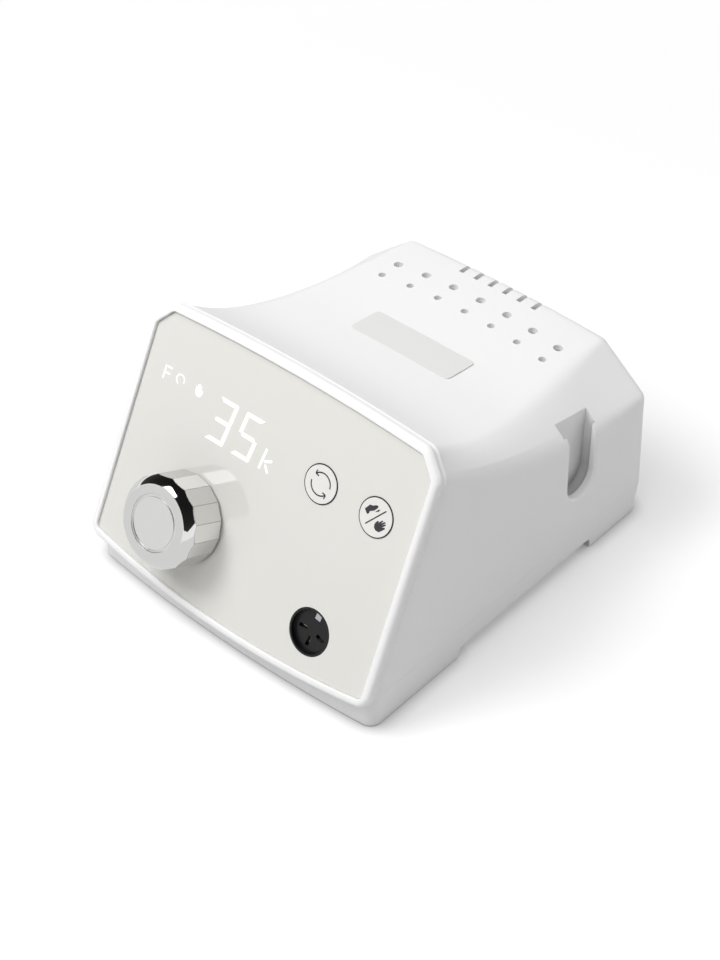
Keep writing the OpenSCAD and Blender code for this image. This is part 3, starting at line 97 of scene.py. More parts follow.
# Finishes. Lengths are in mm. "grain" is the size of the pattern, "relief" its depth, "shade" and "spread"
# the change of colour and roughness over it, and "edge" the radius of the soft edge that light catches.
# The hollow share is painted shade: the colour darkens by it in hollows narrower than "reach" and lower
# than "below". The line share is painted shade too: the colour darkens by it on the edges between flats.
finishes = {
    # satin moulded plastic: clean white with soft highlights, grain drawn twice as coarse as the mould's
    # its colour also carries painted shade in deep hollows below a height
    "white_abs": dict(name="satinWhiteAbs", colour="#F6F6F6", rough=0.34, spread=0.04, ior=1.53,
                      grain=0.6, relief=0.004, shade=0.01, edge=0.15, hollowShade=0.7, reach=22.0, below=78.0),
    # the same plastic on the frame, which has no deep hollows, so it goes without their painted shade
    "frame_abs": dict(name="satinWhiteFrameAbs", colour="#F6F6F6", rough=0.34, spread=0.04, ior=1.53,
                      grain=0.6, relief=0.004, shade=0.01, edge=0.15),
    # back-painted acrylic: smooth as glass, so that the knob is mirrored in it
    "panel_gloss": dict(name="glossGreyAcrylic", colour="#E0DFDA", rough=0.06, spread=0.02, ior=1.6,
                        grain=18, relief=0.0, shade=0.008, edge=0.15),
    # satin film over a metal label: flat light grey
    "plate_grey": dict(name="satinGreyLabel", colour="#E6E6E4", rough=0.42, spread=0.05, ior=1.5,
                       grain=0.4, stretch=(0.05, 1, 1), relief=0.002, shade=0.012, edge=0.1),
    # moulded rubber: dull, with a fine speckle
    "foot_rubber": dict(name="dullBlackRubber", colour="#1E1E1F", rough=0.82, spread=0.08, ior=1.52,
                        grain=0.5, relief=0.02, shade=0.15, edge=0.3),
    # zinc plated steel: bright, slightly blotched
    "screw_steel": dict(name="zincPlatedSteel", colour="#C4C7C9", metal=1, rough=0.3, spread=0.08,
                        grain=1.5, relief=0.004, shade=0.08, edge=0.1),
    # chrome plated plastic: a clear mirror, faint waves of the plating, painted dark lines between flats
    "knob_chrome": dict(name="polishedChrome", colour="#E4E4E3", metal=1, rough=0.05, spread=0.02,
                        grain=6, relief=0.002, shade=0.01, edge=0.36, line=0.9),
    # satin metal disc: turned rings under a soft sheen, drawn coarser than the tool's marks
    "insert_satin": dict(name="turnedSatinAluminium", colour="#EDEDEC", metal=1, rough=0.36, spread=0.04,
                         grain=0.5, relief=0.0015, shade=0.012, edge=0.12, pattern="rings"),
    # turned aluminium shaft: fine rings across its length
    "shaft_aluminium": dict(name="turnedAluminium", colour="#CDCFD1", metal=1, rough=0.28, spread=0.06,
                            grain=0.6, relief=0.006, shade=0.05, edge=0.1, pattern="bands"),
    # filled nylon: black with a slight haze
    "black_nylon": dict(name="filledBlackNylon", colour="#1B1B1D", rough=0.5, spread=0.08, ior=1.53,
                        grain=0.8, relief=0.01, shade=0.12, edge=0.15),
    # key caps: the panel's acrylic, a touch lighter
    "key_gloss": dict(name="glossKeyAcrylic", colour="#E6E5E1", rough=0.09, spread=0.03, ior=1.55,
                      grain=12, relief=0.0, shade=0.008, edge=0.18),
    # glass laminate: green, with the weave showing faintly
    "board_laminate": dict(name="greenBoardLaminate", colour="#1F5B3A", rough=0.4, spread=0.08, ior=1.55,
                           grain=1.2, relief=0.01, shade=0.25, edge=0.1, pattern="weave"),
    # display block: black and matt
    "display_black": dict(name="mattDisplayBlock", colour="#141416", rough=0.6, spread=0.06, ior=1.5,
                          grain=0.8, relief=0.006, shade=0.1, edge=0.15),
    # diffuser film: milky white
    "display_white": dict(name="milkyDiffuser", colour="#F0F0EC", rough=0.5, spread=0.05, ior=1.5,
                          grain=1.0, relief=0.002, shade=0.02, edge=0.1),
    # connector nylon: ivory, half gloss
    "ivory_nylon": dict(name="ivoryNylon", colour="#E4DDC6", rough=0.42, spread=0.06, ior=1.53,
                        grain=1.0, relief=0.006, shade=0.04, edge=0.15),
    # socket plastic: black, half gloss, so that its rim shows as a grey line
    "socket_black": dict(name="blackSocketPlastic", colour="#131214", rough=0.36, spread=0.06, ior=1.42,
                         grain=0.7, relief=0.006, shade=0.12, edge=0.2),
    # contact metal: pale brass under nickel
    "contact_brass": dict(name="nickelledBrass", colour="#D6C9B4", metal=1, rough=0.24, spread=0.06,
                          grain=1.0, relief=0.004, shade=0.06, edge=0.1),
    # ferrite: dull dark grey, granular
    "ferrite": dict(name="dullFerrite", colour="#3A3A3D", rough=0.75, spread=0.1, ior=1.6,
                    grain=0.7, relief=0.03, shade=0.2, edge=0.2),
    # winding tape: yellow bands around the coil
    "winding_tape": dict(name="yellowWindingTape", colour="#D9B23A", rough=0.35, spread=0.08, ior=1.5,
                         grain=3.0, relief=0.02, shade=0.12, edge=0.2, pattern="bands"),
    # capacitor sleeve: shrunk film, slightly uneven
    "capacitor_sleeve": dict(name="shrunkBlackSleeve", colour="#23262E", rough=0.3, spread=0.08, ior=1.5,
                             grain=4.0, relief=0.02, shade=0.2, edge=0.3),
    # fuse glass in its clip: pale and smooth
    "fuse_glass": dict(name="paleFuseGlass", colour="#D5DAD8", rough=0.08, spread=0.03, ior=1.5,
                       grain=3.0, relief=0.0, shade=0.06, edge=0.1),
    # flat cable: grey, ribbed wire by wire
    "ribbon_pvc": dict(name="ribbedGreyCable", colour="#A9ABAF", rough=0.45, spread=0.05, ior=1.53,
                       grain=1.27, relief=0.12, shade=0.1, edge=0.1, pattern="bands"),
    # rocker: black gloss plastic
    "rocker_black": dict(name="glossBlackRocker", colour="#17171A", rough=0.22, spread=0.05, ior=1.53,
                         grain=0.7, relief=0.005, shade=0.12, edge=0.3),
}


# What the finishes share: one wave of the wave pattern at scale 1, how far its lines wander, the noise's
# finer detail, the rays that look for edges and hollows, how open a spot is where a hollow ends, the
# height over which hollows fade out, the bend at which a line is full and how far its flats may lean.
surface = {"wave": math.pi / 10, "ringWander": 0.6, "bandWander": 0.4, "detail": 2.0, "edgeRays": 6,
           "hollowRays": 12, "hollowOpen": 0.5, "hollowFade": 8.0, "lineBend": 0.988, "lineLean": 0.1}


def makeFinish(look):
    # a shader whose colour, roughness and height follow one pattern of real size
    material = newMaterial(look["name"])
    tree = material.node_tree
    place = addNode(tree, "ShaderNodeTexCoord", {}).outputs["Object"]
    pattern = look.get("pattern", "noise")
    size = look["grain"] * mm
    waves = [surface["wave"] / size] * 3
    if pattern == "rings":
        # rings about the knob's axis: the centre goes to zero and the axis to Z
        centred = addNode(tree, "ShaderNodeVectorMath", {0: place, 1: knobPlace}, operation="SUBTRACT")
        level = addNode(tree, "ShaderNodeMapping",
                        {"Vector": centred.outputs[0], "Rotation": (math.pi / 2 + leanAngle, 0, 0)})
        ripple = addNode(tree, "ShaderNodeMapping", {"Vector": level.outputs[0], "Scale": waves})
        texture = addNode(tree, "ShaderNodeTexWave",
                          {"Vector": ripple.outputs[0], "Scale": 1.0, "Distortion": surface["ringWander"]},
                          wave_type="RINGS", rings_direction="Z")
    elif pattern in ("bands", "weave"):
        ripple = addNode(tree, "ShaderNodeMapping", {"Vector": place, "Scale": waves})
        texture = addNode(tree, "ShaderNodeTexWave",
                          {"Vector": ripple.outputs[0], "Scale": 1.0, "Distortion": surface["bandWander"]},
                          wave_type="BANDS", bands_direction="X" if pattern == "bands" else "DIAGONAL")
    else:
        grains = [stretch / size for stretch in look.get("stretch", (1, 1, 1))]
        grained = addNode(tree, "ShaderNodeMapping", {"Vector": place, "Scale": grains})
        texture = addNode(tree, "ShaderNodeTexNoise",
                          {"Vector": grained.outputs[0], "Scale": 1.0, "Detail": surface["detail"]})
    height = texture.outputs["Fac"]
    colour = addNode(tree, "ShaderNodeMix",
                     {"Factor": height, "A": shaded(look["colour"], 1 - look["shade"]),
                      "B": linear(look["colour"])}, data_type="RGBA")
    if "hollowShade" in look:
        # painted shade: deep hollows, which see little of the room, get a darker colour, but not above a
        # height
        opening = addNode(tree, "ShaderNodeAmbientOcclusion", {"Distance": look["reach"] * mm},
                          samples=surface["hollowRays"])
        openShare = addNode(tree, "ShaderNodeMapRange",
                            {"Value": opening.outputs["AO"], "From Max": surface["hollowOpen"]})
        axes = addNode(tree, "ShaderNodeSeparateXYZ", {"Vector": place})
        upper = addNode(tree, "ShaderNodeMapRange",
                        {"Value": axes.outputs["Z"], "From Max": look["below"] * mm,
                         "From Min": (look["below"] - surface["hollowFade"]) * mm})
        lightShare = addNode(tree, "ShaderNodeMath", {0: openShare.outputs[0], 1: upper.outputs[0]},
                             operation="MAXIMUM")
        colour = addNode(tree, "ShaderNodeMix",
                         {"Factor": lightShare.outputs[0], "B": colour.outputs["Result"],
                          "A": shaded(look["colour"], 1 - look["hollowShade"])}, data_type="RGBA")
    rough = addNode(tree, "ShaderNodeMapRange",
                    {"Value": height, "To Min": look["rough"] - look["spread"],
                     "To Max": look["rough"] + look["spread"]})
    soft = addNode(tree, "ShaderNodeBevel", {"Radius": look["edge"] * mm}, samples=surface["edgeRays"])
    normal = soft.outputs[0]
    if "line" in look:
        # painted shade: edges between polished flats get fine dark lines in the colour
        faceNormal = addNode(tree, "ShaderNodeNewGeometry", {}).outputs["Normal"]
        along = addNode(tree, "ShaderNodeVectorMath", {0: normal, 1: faceNormal}, operation="DOT_PRODUCT")
        bend = addNode(tree, "ShaderNodeMapRange",
                       {"Value": along.outputs["Value"], "From Min": 1.0, "From Max": surface["lineBend"]})
        facing = addNode(tree, "ShaderNodeVectorMath", {0: faceNormal, 1: outward}, operation="DOT_PRODUCT")
        onFlat = addNode(tree, "ShaderNodeMath",
                         {0: facing.outputs["Value"], 1: 0.0, 2: surface["lineLean"]}, operation="COMPARE")
        edgeLineShade = addNode(tree, "ShaderNodeMath", {0: bend.outputs[0], 1: onFlat.outputs[0]},
                        operation="MULTIPLY")
        colour = addNode(tree, "ShaderNodeMix",
                         {"Factor": edgeLineShade.outputs[0], "A": colour.outputs["Result"],
                          "B": shaded(look["colour"], 1 - look["line"])}, data_type="RGBA")
    if look["relief"] > 0:
        bump = addNode(tree, "ShaderNodeBump",
                       {"Height": height, "Distance": look["relief"] * mm, "Normal": normal})
        normal = bump.outputs[0]
    shader = addNode(tree, "ShaderNodeBsdfPrincipled",
                     {"Base Color": colour.outputs["Result"], "Roughness": rough.outputs[0],
                      "Normal": normal, "Metallic": look.get("metal", 0)})
    if "ior" in look:
        shader.inputs["IOR"].default_value = look["ior"]
    addNode(tree, "ShaderNodeOutputMaterial", {"Surface": shader.outputs[0]})
    return material


materials = {slot: makeFinish(look) for slot, look in finishes.items()}
slotOf = {part["node"]: part["material_slot"] for part in frame["record"]["subparts"]}
slotOf["front_frame"] = "frame_abs"  # without the painted shade for hollows
for nodeName, node in frame["nodes"].items():
    node.data.materials.clear()
    node.data.materials.append(materials[slotOf[nodeName]])
print("stage: finishes on", len(frame["nodes"]), "nodes")

# Smooth shading: facets that meet at a small angle read as one curved surface
smooth = {"weld": 0.002, "angle": 24, "sharper": {"speed_knob": 8}, "weight": 80}
for nodeName, node in frame["nodes"].items():
    weld = node.modifiers.new("weld", "WELD")
    weld.merge_threshold = smooth["weld"] * mm
    split = node.modifiers.new("split", "EDGE_SPLIT")
    split.split_angle = math.radians(smooth["sharper"].get(nodeName, smooth["angle"]))
    split.use_edge_sharp = False
    weighted = node.modifiers.new("weighted", "WEIGHTED_NORMAL")
    weighted.weight = smooth["weight"]
print("stage: smooth shading")


# Strokes: how round a bar's ends are, as a share of its width, and the steps of each curve
strokes = {"endRounding": 0.48, "endSteps": 5, "arcSteps": 24, "cornerSteps": 3}


def addBar(sheet, start, end, width):
    # a straight stroke with round ends
    run = Vector(end) - Vector(start)
    middle = (Vector(start) + Vector(end)) / 2
    place = Matrix.Translation((middle.x, middle.y, 0)) @ Matrix.Rotation(math.atan2(run.y, run.x), 4, "Z")
    shape = place @ Matrix.Diagonal((run.length, width, 1, 1))
    corners = bmesh.ops.create_grid(sheet, x_segments=1, y_segments=1, size=0.5, matrix=shape)["verts"]
    bmesh.ops.bevel(sheet, geom=corners, offset=width * strokes["endRounding"], offset_type="OFFSET",
                    segments=strokes["endSteps"], profile=0.5, affect="VERTICES", material=-1)


def addArc(sheet, centre, radius, width, start, sweep):
    # a bent stroke: a short edge turned about the centre
    ray = Vector((math.cos(math.radians(start)), math.sin(math.radians(start)), 0))
    middle = Vector((*centre, 0))
    ends = [sheet.verts.new(middle + ray * (radius + side * width / 2)) for side in (-1, 1)]
    edge = sheet.edges.new(ends)
    bmesh.ops.spin(sheet, geom=ends + [edge], cent=middle, axis=(0, 0, 1), angle=math.radians(sweep),
                   steps=strokes["arcSteps"], use_merge=sweep == 360)


def addOutline(sheet, corners, rounding):
    # a flat shape with rounded corners
    verts = [sheet.verts.new((*corner, 0)) for corner in corners]
    sheet.faces.new(verts)
    bmesh.ops.bevel(sheet, geom=verts, offset=rounding, offset_type="OFFSET",
                    segments=strokes["cornerSteps"], profile=0.5, affect="VERTICES", material=-1)


# A hand that points up: thumb, four fingers and the palm below, as one outline
handShape = {"rounding": 0.12,
             "thumb": ((-1.85, 1.15), (-1.4, 1.3), (-1.12, 0.75)),
             "index": ((-1.3, 2.7), (-0.85, 3.0), (-0.58, 1.5)),
             "middle": ((-0.5, 3.45), (0.0, 3.6), (0.06, 1.5)),
             "ring": ((0.25, 3.3), (0.75, 3.3), (0.64, 1.35)),
             "little": ((1.1, 2.45), (1.6, 2.45), (1.65, 0.9)),
             "palm": ((1.55, -0.5), (0.5, -1.4), (-0.6, -1.4), (-1.5, -0.65), (-1.85, 0.3))}


def addHand(sheet, look):
    # the hand's outline, placed, turned and sized; a flip of -1 mirrors it
    place = (Matrix.Translation((*look["centre"], 0)) @ Matrix.Rotation(math.radians(look["turn"]), 4, "Z")
             @ Matrix.Diagonal((look["flip"] * look["size"], look["size"], 1, 1)))
    order = ("thumb", "index", "middle", "ring", "little", "palm")
    corners = [corner for part in order for corner in handShape[part]]
    addOutline(sheet, [(place @ Vector((*corner, 0))).to_2d() for corner in corners], handShape["rounding"])


def makePiece(name, sheet, place, material, body):
    # finished mesh at the origin, riding on its CAD body
    bmesh.ops.recalc_face_normals(sheet, faces=sheet.faces[:])
    sheet.transform(place)
    mesh = bpy.data.meshes.new(name)
    sheet.to_mesh(mesh)
    sheet.free()
    mesh.materials.append(material)
    piece = bpy.data.objects.new(name, mesh)
    scene.collection.objects.link(piece)
    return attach(piece, body)


def makeSign(name, sheet, thickness, height, material, body, place=panelPlace):
    # a thin closed layer whose underside is at a height over the face that carries it
    bmesh.ops.solidify(sheet, geom=sheet.faces[:], thickness=thickness)
    lowest = min(vert.co.z for vert in sheet.verts)
    return makePiece(name, sheet, place @ Matrix.Translation((0, 0, height - lowest)), material, body)


def makeGlow(look):
    # light through the panel: white signs, slightly uneven from place to place
    material = newMaterial(look["name"])
    tree = material.node_tree
    place = addNode(tree, "ShaderNodeTexCoord", {}).outputs["Object"]
    field = addNode(tree, "ShaderNodeMapping", {"Vector": place, "Scale": [1 / (look["field"] * mm)] * 3})
    noise = addNode(tree, "ShaderNodeTexNoise", {"Vector": field.outputs[0], "Scale": 1.0, "Detail": 1.0})
    power = addNode(tree, "ShaderNodeMapRange",
                    {"Value": noise.outputs["Fac"], "To Min": look["power"] * look["dim"],
                     "To Max": look["power"]})
    light = addNode(tree, "ShaderNodeBsdfPrincipled",
                    {"Base Color": shaded(look["colour"], look["unlit"]),
                     "Emission Color": linear(look["colour"]), "Emission Strength": power.outputs[0],
                     "Roughness": look["rough"], "IOR": look["ior"]})
    addNode(tree, "ShaderNodeOutputMaterial", {"Surface": light.outputs[0]})
    return material


glow = makeGlow({"name": "litDisplay", "colour": "#FEFEFA", "field": 5.0, "power": 0.94, "dim": 0.96,
                 "unlit": 0.2, "rough": 0.1, "ior": 1.5})
ink = makeFinish(dict(name="darkPrintedInk", colour="#33333A", rough=0.45, spread=0.05, ior=1.5,
                      grain=0.5, relief=0.0, shade=0.06, edge=0.02))  # printed signs: dark grey, even

# Two slanted seven-bar digits with mitred bars
digits = {"width": 8.6, "height": 16.4, "slant": 7.8, "bar": 1.6, "gap": 0.14, "rounding": 0.22,
          "top": 68.45, "tensAcross": -18.4, "unitsAcross": -6.15, "layer": 0.02, "lift": 0.01}
barsOf = {"3": "abcdg", "5": "acdfg"}


def addDigit(sheet, sign, right):
    # bars a to g as on any seven-bar display; the lower and left ones mirror the others
    wide, tall, bar, gap = (digits[key] for key in ("width", "height", "bar", "gap"))
    middle = tall / 2
    bars = {
        "a": ((gap, tall), (gap + bar, tall - bar), (wide - gap - bar, tall - bar), (wide - gap, tall)),
        "b": ((wide, tall - gap), (wide - bar, tall - gap - bar), (wide - bar, middle + gap + bar / 2),
              (wide - bar / 2, middle + gap), (wide, middle + gap)),
        "g": ((bar / 2 + gap, middle), (bar + gap, middle - bar / 2), (wide - bar - gap, middle - bar / 2),
              (wide - bar / 2 - gap, middle), (wide - bar - gap, middle + bar / 2),
              (bar + gap, middle + bar / 2)),
    }
    bars["c"] = [(x, tall - y) for x, y in bars["b"]]
    bars["d"] = [(x, tall - y) for x, y in bars["a"]]
    bars["f"] = [(wide - x, y) for x, y in bars["b"]]
    lean = math.tan(math.radians(digits["slant"]))
    for name in barsOf[sign]:
        corners = [(right - wide + x - (tall - y) * lean, digits["top"] - tall + y) for x, y in bars[name]]
        addOutline(sheet, corners, digits["rounding"])


for name, sign, right in (("digitTens", "3", digits["tensAcross"]),
                          ("digitUnits", "5", digits["unitsAcross"])):
    sheet = bmesh.new()
    addDigit(sheet, sign, right)
    makeSign(name, sheet, digits["layer"], digits["lift"], glow, "housing")

# Small lit signs: the unit's letter, the letter at the upper left, an open ring and a hand
letters = {"thin": 0.72, "thick": 1.0}
kSign = {"stem": ((-3.7, 52.4), (-2.6, 60.4)), "arm": ((-2.4, 55.7), (1.0, 57.2)),
         "leg": ((-1.6, 55.0), (0.4, 52.4))}
sheet = bmesh.new()
for stroke in kSign.values():
    addBar(sheet, stroke[0], stroke[1], letters["thick"])
makeSign("signUnit", sheet, digits["layer"], digits["lift"], glow, "housing")

fSign = {"stem": ((-53.4, 62.8), (-53.3, 68.1)), "top": ((-52.8, 67.75), (-50.2, 67.85)),
         "middle": ((-52.9, 65.4), (-50.6, 65.5))}
sheet = bmesh.new()
for stroke in fSign.values():
    addBar(sheet, stroke[0], stroke[1], letters["thin"])
makeSign("signForward", sheet, digits["layer"], digits["lift"], glow, "housing")

ringSign = {"centre": (-45.75, 65.8), "radius": 1.8, "width": 0.56, "start": -22, "sweep": 276}
sheet = bmesh.new()
addArc(sheet, ringSign["centre"], ringSign["radius"], ringSign["width"], ringSign["start"],
       ringSign["sweep"])
makeSign("signTurn", sheet, digits["layer"], digits["lift"], glow, "housing")

litHand = {"centre": (-36.6, 64.9), "turn": 11, "flip": -1, "size": 0.94}
sheet = bmesh.new()
addHand(sheet, litHand)
makeSign("signHand", sheet, digits["layer"], digits["lift"], glow, "housing")
print("stage: display signs")

# Printed signs on the keys
inkLayer = {"layer": 0.02, "lift": 0.01}
printHeight = panel["keyProud"] + inkLayer["lift"]
turnPrint = {"radius": 3.95, "width": 0.48, "start": 1, "sweep": 136, "tip": (-3.1, 2.6),
             "barbs": ((-2.75, 4.1), (-1.6, 2.3))}
sheet = bmesh.new()
directionCentre = Vector((panel["directionKeyAcross"], panel["keysUp"]))
for side in (1, -1):
    addArc(sheet, directionCentre, turnPrint["radius"], turnPrint["width"],
           turnPrint["start"] + (0 if side == 1 else 180), turnPrint["sweep"])
    tip = directionCentre + side * Vector(turnPrint["tip"])
    for barb in turnPrint["barbs"]:
        addBar(sheet, tip, directionCentre + side * Vector(barb), turnPrint["width"])
makeSign("directionPrint", sheet, inkLayer["layer"], printHeight, ink, "direction_button")

modePrint = {"line": ((-3.1, -3.75), (3.15, 3.85)), "width": 0.44, "rounding": 0.2,
             "pedalRounding": 0.2 / 3,
             "shoe": ((-5.0, 0.8), (-3.5, 3.0), (-2.4, 3.1), (-1.2, 3.9), (-0.3, 4.0), (-0.3, 3.3),
                      (-1.4, 1.8), (-2.9, 0.9), (-2.9, 0.2), (-3.5, -0.5)),
             "pedal": ((-0.9, 1.5), (0.1, 2.9), (0.8, 3.2), (0.4, 2.3))}
printedHand = {"centre": (1.9, -2.6), "turn": -41, "flip": 1, "size": 1.0}
sheet = bmesh.new()
addBar(sheet, modePrint["line"][0], modePrint["line"][1], modePrint["width"])
addOutline(sheet, modePrint["shoe"], modePrint["rounding"])
addOutline(sheet, modePrint["pedal"], modePrint["pedalRounding"])
addHand(sheet, printedHand)
bmesh.ops.translate(sheet, verts=sheet.verts[:], vec=(panel["modeKeyAcross"], panel["keysUp"], 0))
makeSign("modePrint", sheet, inkLayer["layer"], printHeight, ink, "mode_button")
print("stage: printed signs")

# White marks on the rocker: a bar for on, on the upper half, and a ring for off
rocker = {"out": 4.2, "half": 6.8, "dip": 1.2, "tilt": 10, "wallLean": 0.7, "bar": 3.2, "ring": 1.35,
          "line": 0.5}
paint = makeFinish(dict(name="whitePrintedPaint", colour="#EDEDEA", rough=0.5, spread=0.05, ior=1.5,
                        grain=0.5, relief=0.0, shade=0.04, edge=0.02))  # raised white print: even and matt
rockerJoint = next(joint for joint in frame["joints"] if joint["name"] == "power_rocker_tilt")
wallLean = math.radians(rocker["wallLean"])
wallOut = Vector((0, math.cos(wallLean), math.sin(wallLean)))
wallUp = wallOut.cross(Vector((-1, 0, 0)))
rockerPlace = (Matrix.Translation(rockerJoint["pos_m"])
               @ Matrix((Vector((-1, 0, 0)), wallUp, wallOut)).transposed().to_4x4()
               @ Matrix.Rotation(math.radians(rocker["tilt"]), 4, "X") @ Matrix.Scale(mm, 4))
slope = math.atan2(rocker["dip"], rocker["half"])
for name, half in (("rockerOnMark", 1), ("rockerOffMark", -1)):
    sheet = bmesh.new()
    if half == 1:
        addBar(sheet, (0, -rocker["bar"] / 2), (0, rocker["bar"] / 2), rocker["line"])
    else:
        addArc(sheet, (0, 0), rocker["ring"], rocker["line"], 0, 360)
    facet = (Matrix.Translation((0, half * rocker["half"] / 2, rocker["out"] - rocker["dip"] / 2))
             @ Matrix.Rotation(half * slope, 4, "X"))
    makeSign(name, sheet, inkLayer["layer"], inkLayer["lift"], paint, "rocker", rockerPlace @ facet)
print("stage: rocker marks")

# Dark rings that fill the gaps around the keys
keyGapRing = {"clear": 0.02, "top": 0.2, "depth": 1.3, "steps": 96}
for name, keyAcross in (("directionGapRing", panel["directionKeyAcross"]),
                        ("modeGapRing", panel["modeKeyAcross"])):
    inner = panel["keyRadius"] + keyGapRing["clear"]
    outer = panel["keyRadius"] + panel["keyGap"] - keyGapRing["clear"]
    sheet = bmesh.new()
    profile = [sheet.verts.new((radius, 0, keyGapRing["top"] - depth)) for radius, depth in
               ((inner, 0), (outer, 0), (outer, keyGapRing["depth"]), (inner, keyGapRing["depth"]))]
    edges = [sheet.edges.new((profile[i], profile[(i + 1) % 4])) for i in range(4)]
    bmesh.ops.spin(sheet, geom=profile + edges, cent=(0, 0, 0), axis=(0, 0, 1), angle=math.tau,
                   steps=keyGapRing["steps"], use_merge=True)
    centre = Matrix.Translation((keyAcross, panel["keysUp"], 0))
    makePiece(name, sheet, panelPlace @ centre, materials["socket_black"], "housing")
print("stage: key seals")


def addCard(name, size):
    # a flat square of the studio
    bpy.ops.mesh.primitive_plane_add(size=size)
    card = bpy.context.object
    card.name = name
    return card


def showInMirrorsOnly(card):
    # seen in polished surfaces and nowhere else
    card.visible_camera = False
    card.visible_diffuse = False
    card.visible_shadow = False
    card.visible_transmission = False


# Floor: white paper that keeps the object's shadow. Sizes in m, "contact" in mm. "albedo" is what it throws
# back at the object, "seen" and "lift" the lit and the even part of what the camera sees, "mirrored" its
# tone in polished surfaces, "contact" and "fall" the reach of a painted contact shadow at the feet and how
# fast it ends, and "plain" where shadows fade.
floor = {"size": 6.0, "albedo": 0.66, "seen": 0.7, "lift": 0.33, "mirrored": 0.8, "contact": 6.0,
         "fall": 0.6, "rays": 16, "plain": (0.2, 0.45)}


def makePaper(look):
    # matt white paper: shaded by the object, with a painted contact shadow, and plain white away from it
    material = newMaterial("whitePaper")
    tree = material.node_tree
    path = addNode(tree, "ShaderNodeLightPath", {})
    mirrored = addNode(tree, "ShaderNodeMath",
                       {0: path.outputs["Is Glossy Ray"], 1: path.outputs["Is Transmission Ray"]},
                       operation="MAXIMUM")
    place = addNode(tree, "ShaderNodeTexCoord", {}).outputs["Object"]
    away = addNode(tree, "ShaderNodeVectorMath", {0: place}, operation="LENGTH")
    far = addNode(tree, "ShaderNodeMapRange",
                  {"Value": away.outputs["Value"], "From Min": look["plain"][0],
                   "From Max": look["plain"][1]})
    lit = addNode(tree, "ShaderNodeMapRange",
                  {"Value": far.outputs[0], "To Min": look["seen"], "To Max": 0.0})
    even = addNode(tree, "ShaderNodeMapRange",
                   {"Value": far.outputs[0], "To Min": look["lift"], "To Max": 1.0})
    direct = addNode(tree, "ShaderNodeMapRange",
                     {"Value": path.outputs["Is Camera Ray"], "To Min": look["albedo"],
                      "To Max": lit.outputs[0]})
    # painted shadow: the narrow dark band where the object stands, drawn by occlusion
    opening = addNode(tree, "ShaderNodeAmbientOcclusion", {"Distance": look["contact"] * mm},
                      samples=look["rays"])
    contactShade = addNode(tree, "ShaderNodeMath", {0: opening.outputs["AO"], 1: look["fall"]}, operation="POWER")
    shade = addNode(tree, "ShaderNodeMath", {0: direct.outputs[0], 1: contactShade.outputs[0]},
                    operation="MULTIPLY")
    albedo = addNode(tree, "ShaderNodeMath", {0: shade.outputs[0], 1: mirrored.outputs[0]},
                     operation="SUBTRACT", use_clamp=True)
    tone = addNode(tree, "ShaderNodeCombineColor",
                   {"Red": albedo.outputs[0], "Green": albedo.outputs[0], "Blue": albedo.outputs[0]})
    evenSeen = addNode(tree, "ShaderNodeMath", {0: path.outputs["Is Camera Ray"], 1: even.outputs[0]},
                       operation="MULTIPLY")
    base = addNode(tree, "ShaderNodeMath", {0: evenSeen.outputs[0], 1: contactShade.outputs[0]},
                   operation="MULTIPLY")
    lift = addNode(tree, "ShaderNodeMath",
                   {0: mirrored.outputs[0], 1: look["mirrored"], 2: base.outputs[0]},
                   operation="MULTIPLY_ADD")
    matt = addNode(tree, "ShaderNodeBsdfDiffuse", {"Color": tone.outputs[0]})
    bright = addNode(tree, "ShaderNodeEmission", {"Strength": lift.outputs[0]})
    both = addNode(tree, "ShaderNodeAddShader", {0: matt.outputs[0], 1: bright.outputs[0]})
    addNode(tree, "ShaderNodeOutputMaterial", {"Surface": both.outputs[0]})
    return material


floorSheet = addCard("floorSheet", floor["size"])
floorSheet.data.materials.append(makePaper(floor))

# Dark ceiling card: seen only in polished surfaces, as the dark band around the knob's shoulder
ceiling = {"left": -20.0, "right": 3.8, "front": -4.0, "rear": 4.5, "height": 1.5, "colour": "#050505",
           "rough": 1.0}
ceilingCard = addCard("ceilingCard", 1)
ceilingCard.location = ((ceiling["left"] + ceiling["right"]) / 2, (ceiling["front"] + ceiling["rear"]) / 2,
                        ceiling["height"])
ceilingCard.scale = (ceiling["right"] - ceiling["left"], ceiling["rear"] - ceiling["front"], 1)
darkCard = newMaterial("darkCard")
dull = addNode(darkCard.node_tree, "ShaderNodeBsdfPrincipled",
               {"Base Color": linear(ceiling["colour"]), "Roughness": ceiling["rough"]})
addNode(darkCard.node_tree, "ShaderNodeOutputMaterial", {"Surface": dull.outputs[0]})
ceilingCard.data.materials.append(darkCard)
showInMirrorsOnly(ceilingCard)

# World: even fill for the object, white where it is seen or mirrored
air = {"fill": 0.28, "seen": 1.0}
world = bpy.data.worlds.new("studioAir")
scene.world = world
world.use_nodes = True
airTree = world.node_tree
airTree.nodes.clear()
rayKind = addNode(airTree, "ShaderNodeLightPath", {})
either = addNode(airTree, "ShaderNodeMath",
                 {0: rayKind.outputs["Is Camera Ray"], 1: rayKind.outputs["Is Glossy Ray"]},
                 operation="MAXIMUM")
anySight = addNode(airTree, "ShaderNodeMath",
                   {0: either.outputs[0], 1: rayKind.outputs["Is Transmission Ray"]}, operation="MAXIMUM")
strength = addNode(airTree, "ShaderNodeMapRange",
                   {"Value": anySight.outputs[0], "To Min": air["fill"], "To Max": air["seen"]})
sky = addNode(airTree, "ShaderNodeBackground", {"Color": (1, 1, 1, 1), "Strength": strength.outputs[0]})
addNode(airTree, "ShaderNodeOutputWorld", {"Surface": sky.outputs[0]})

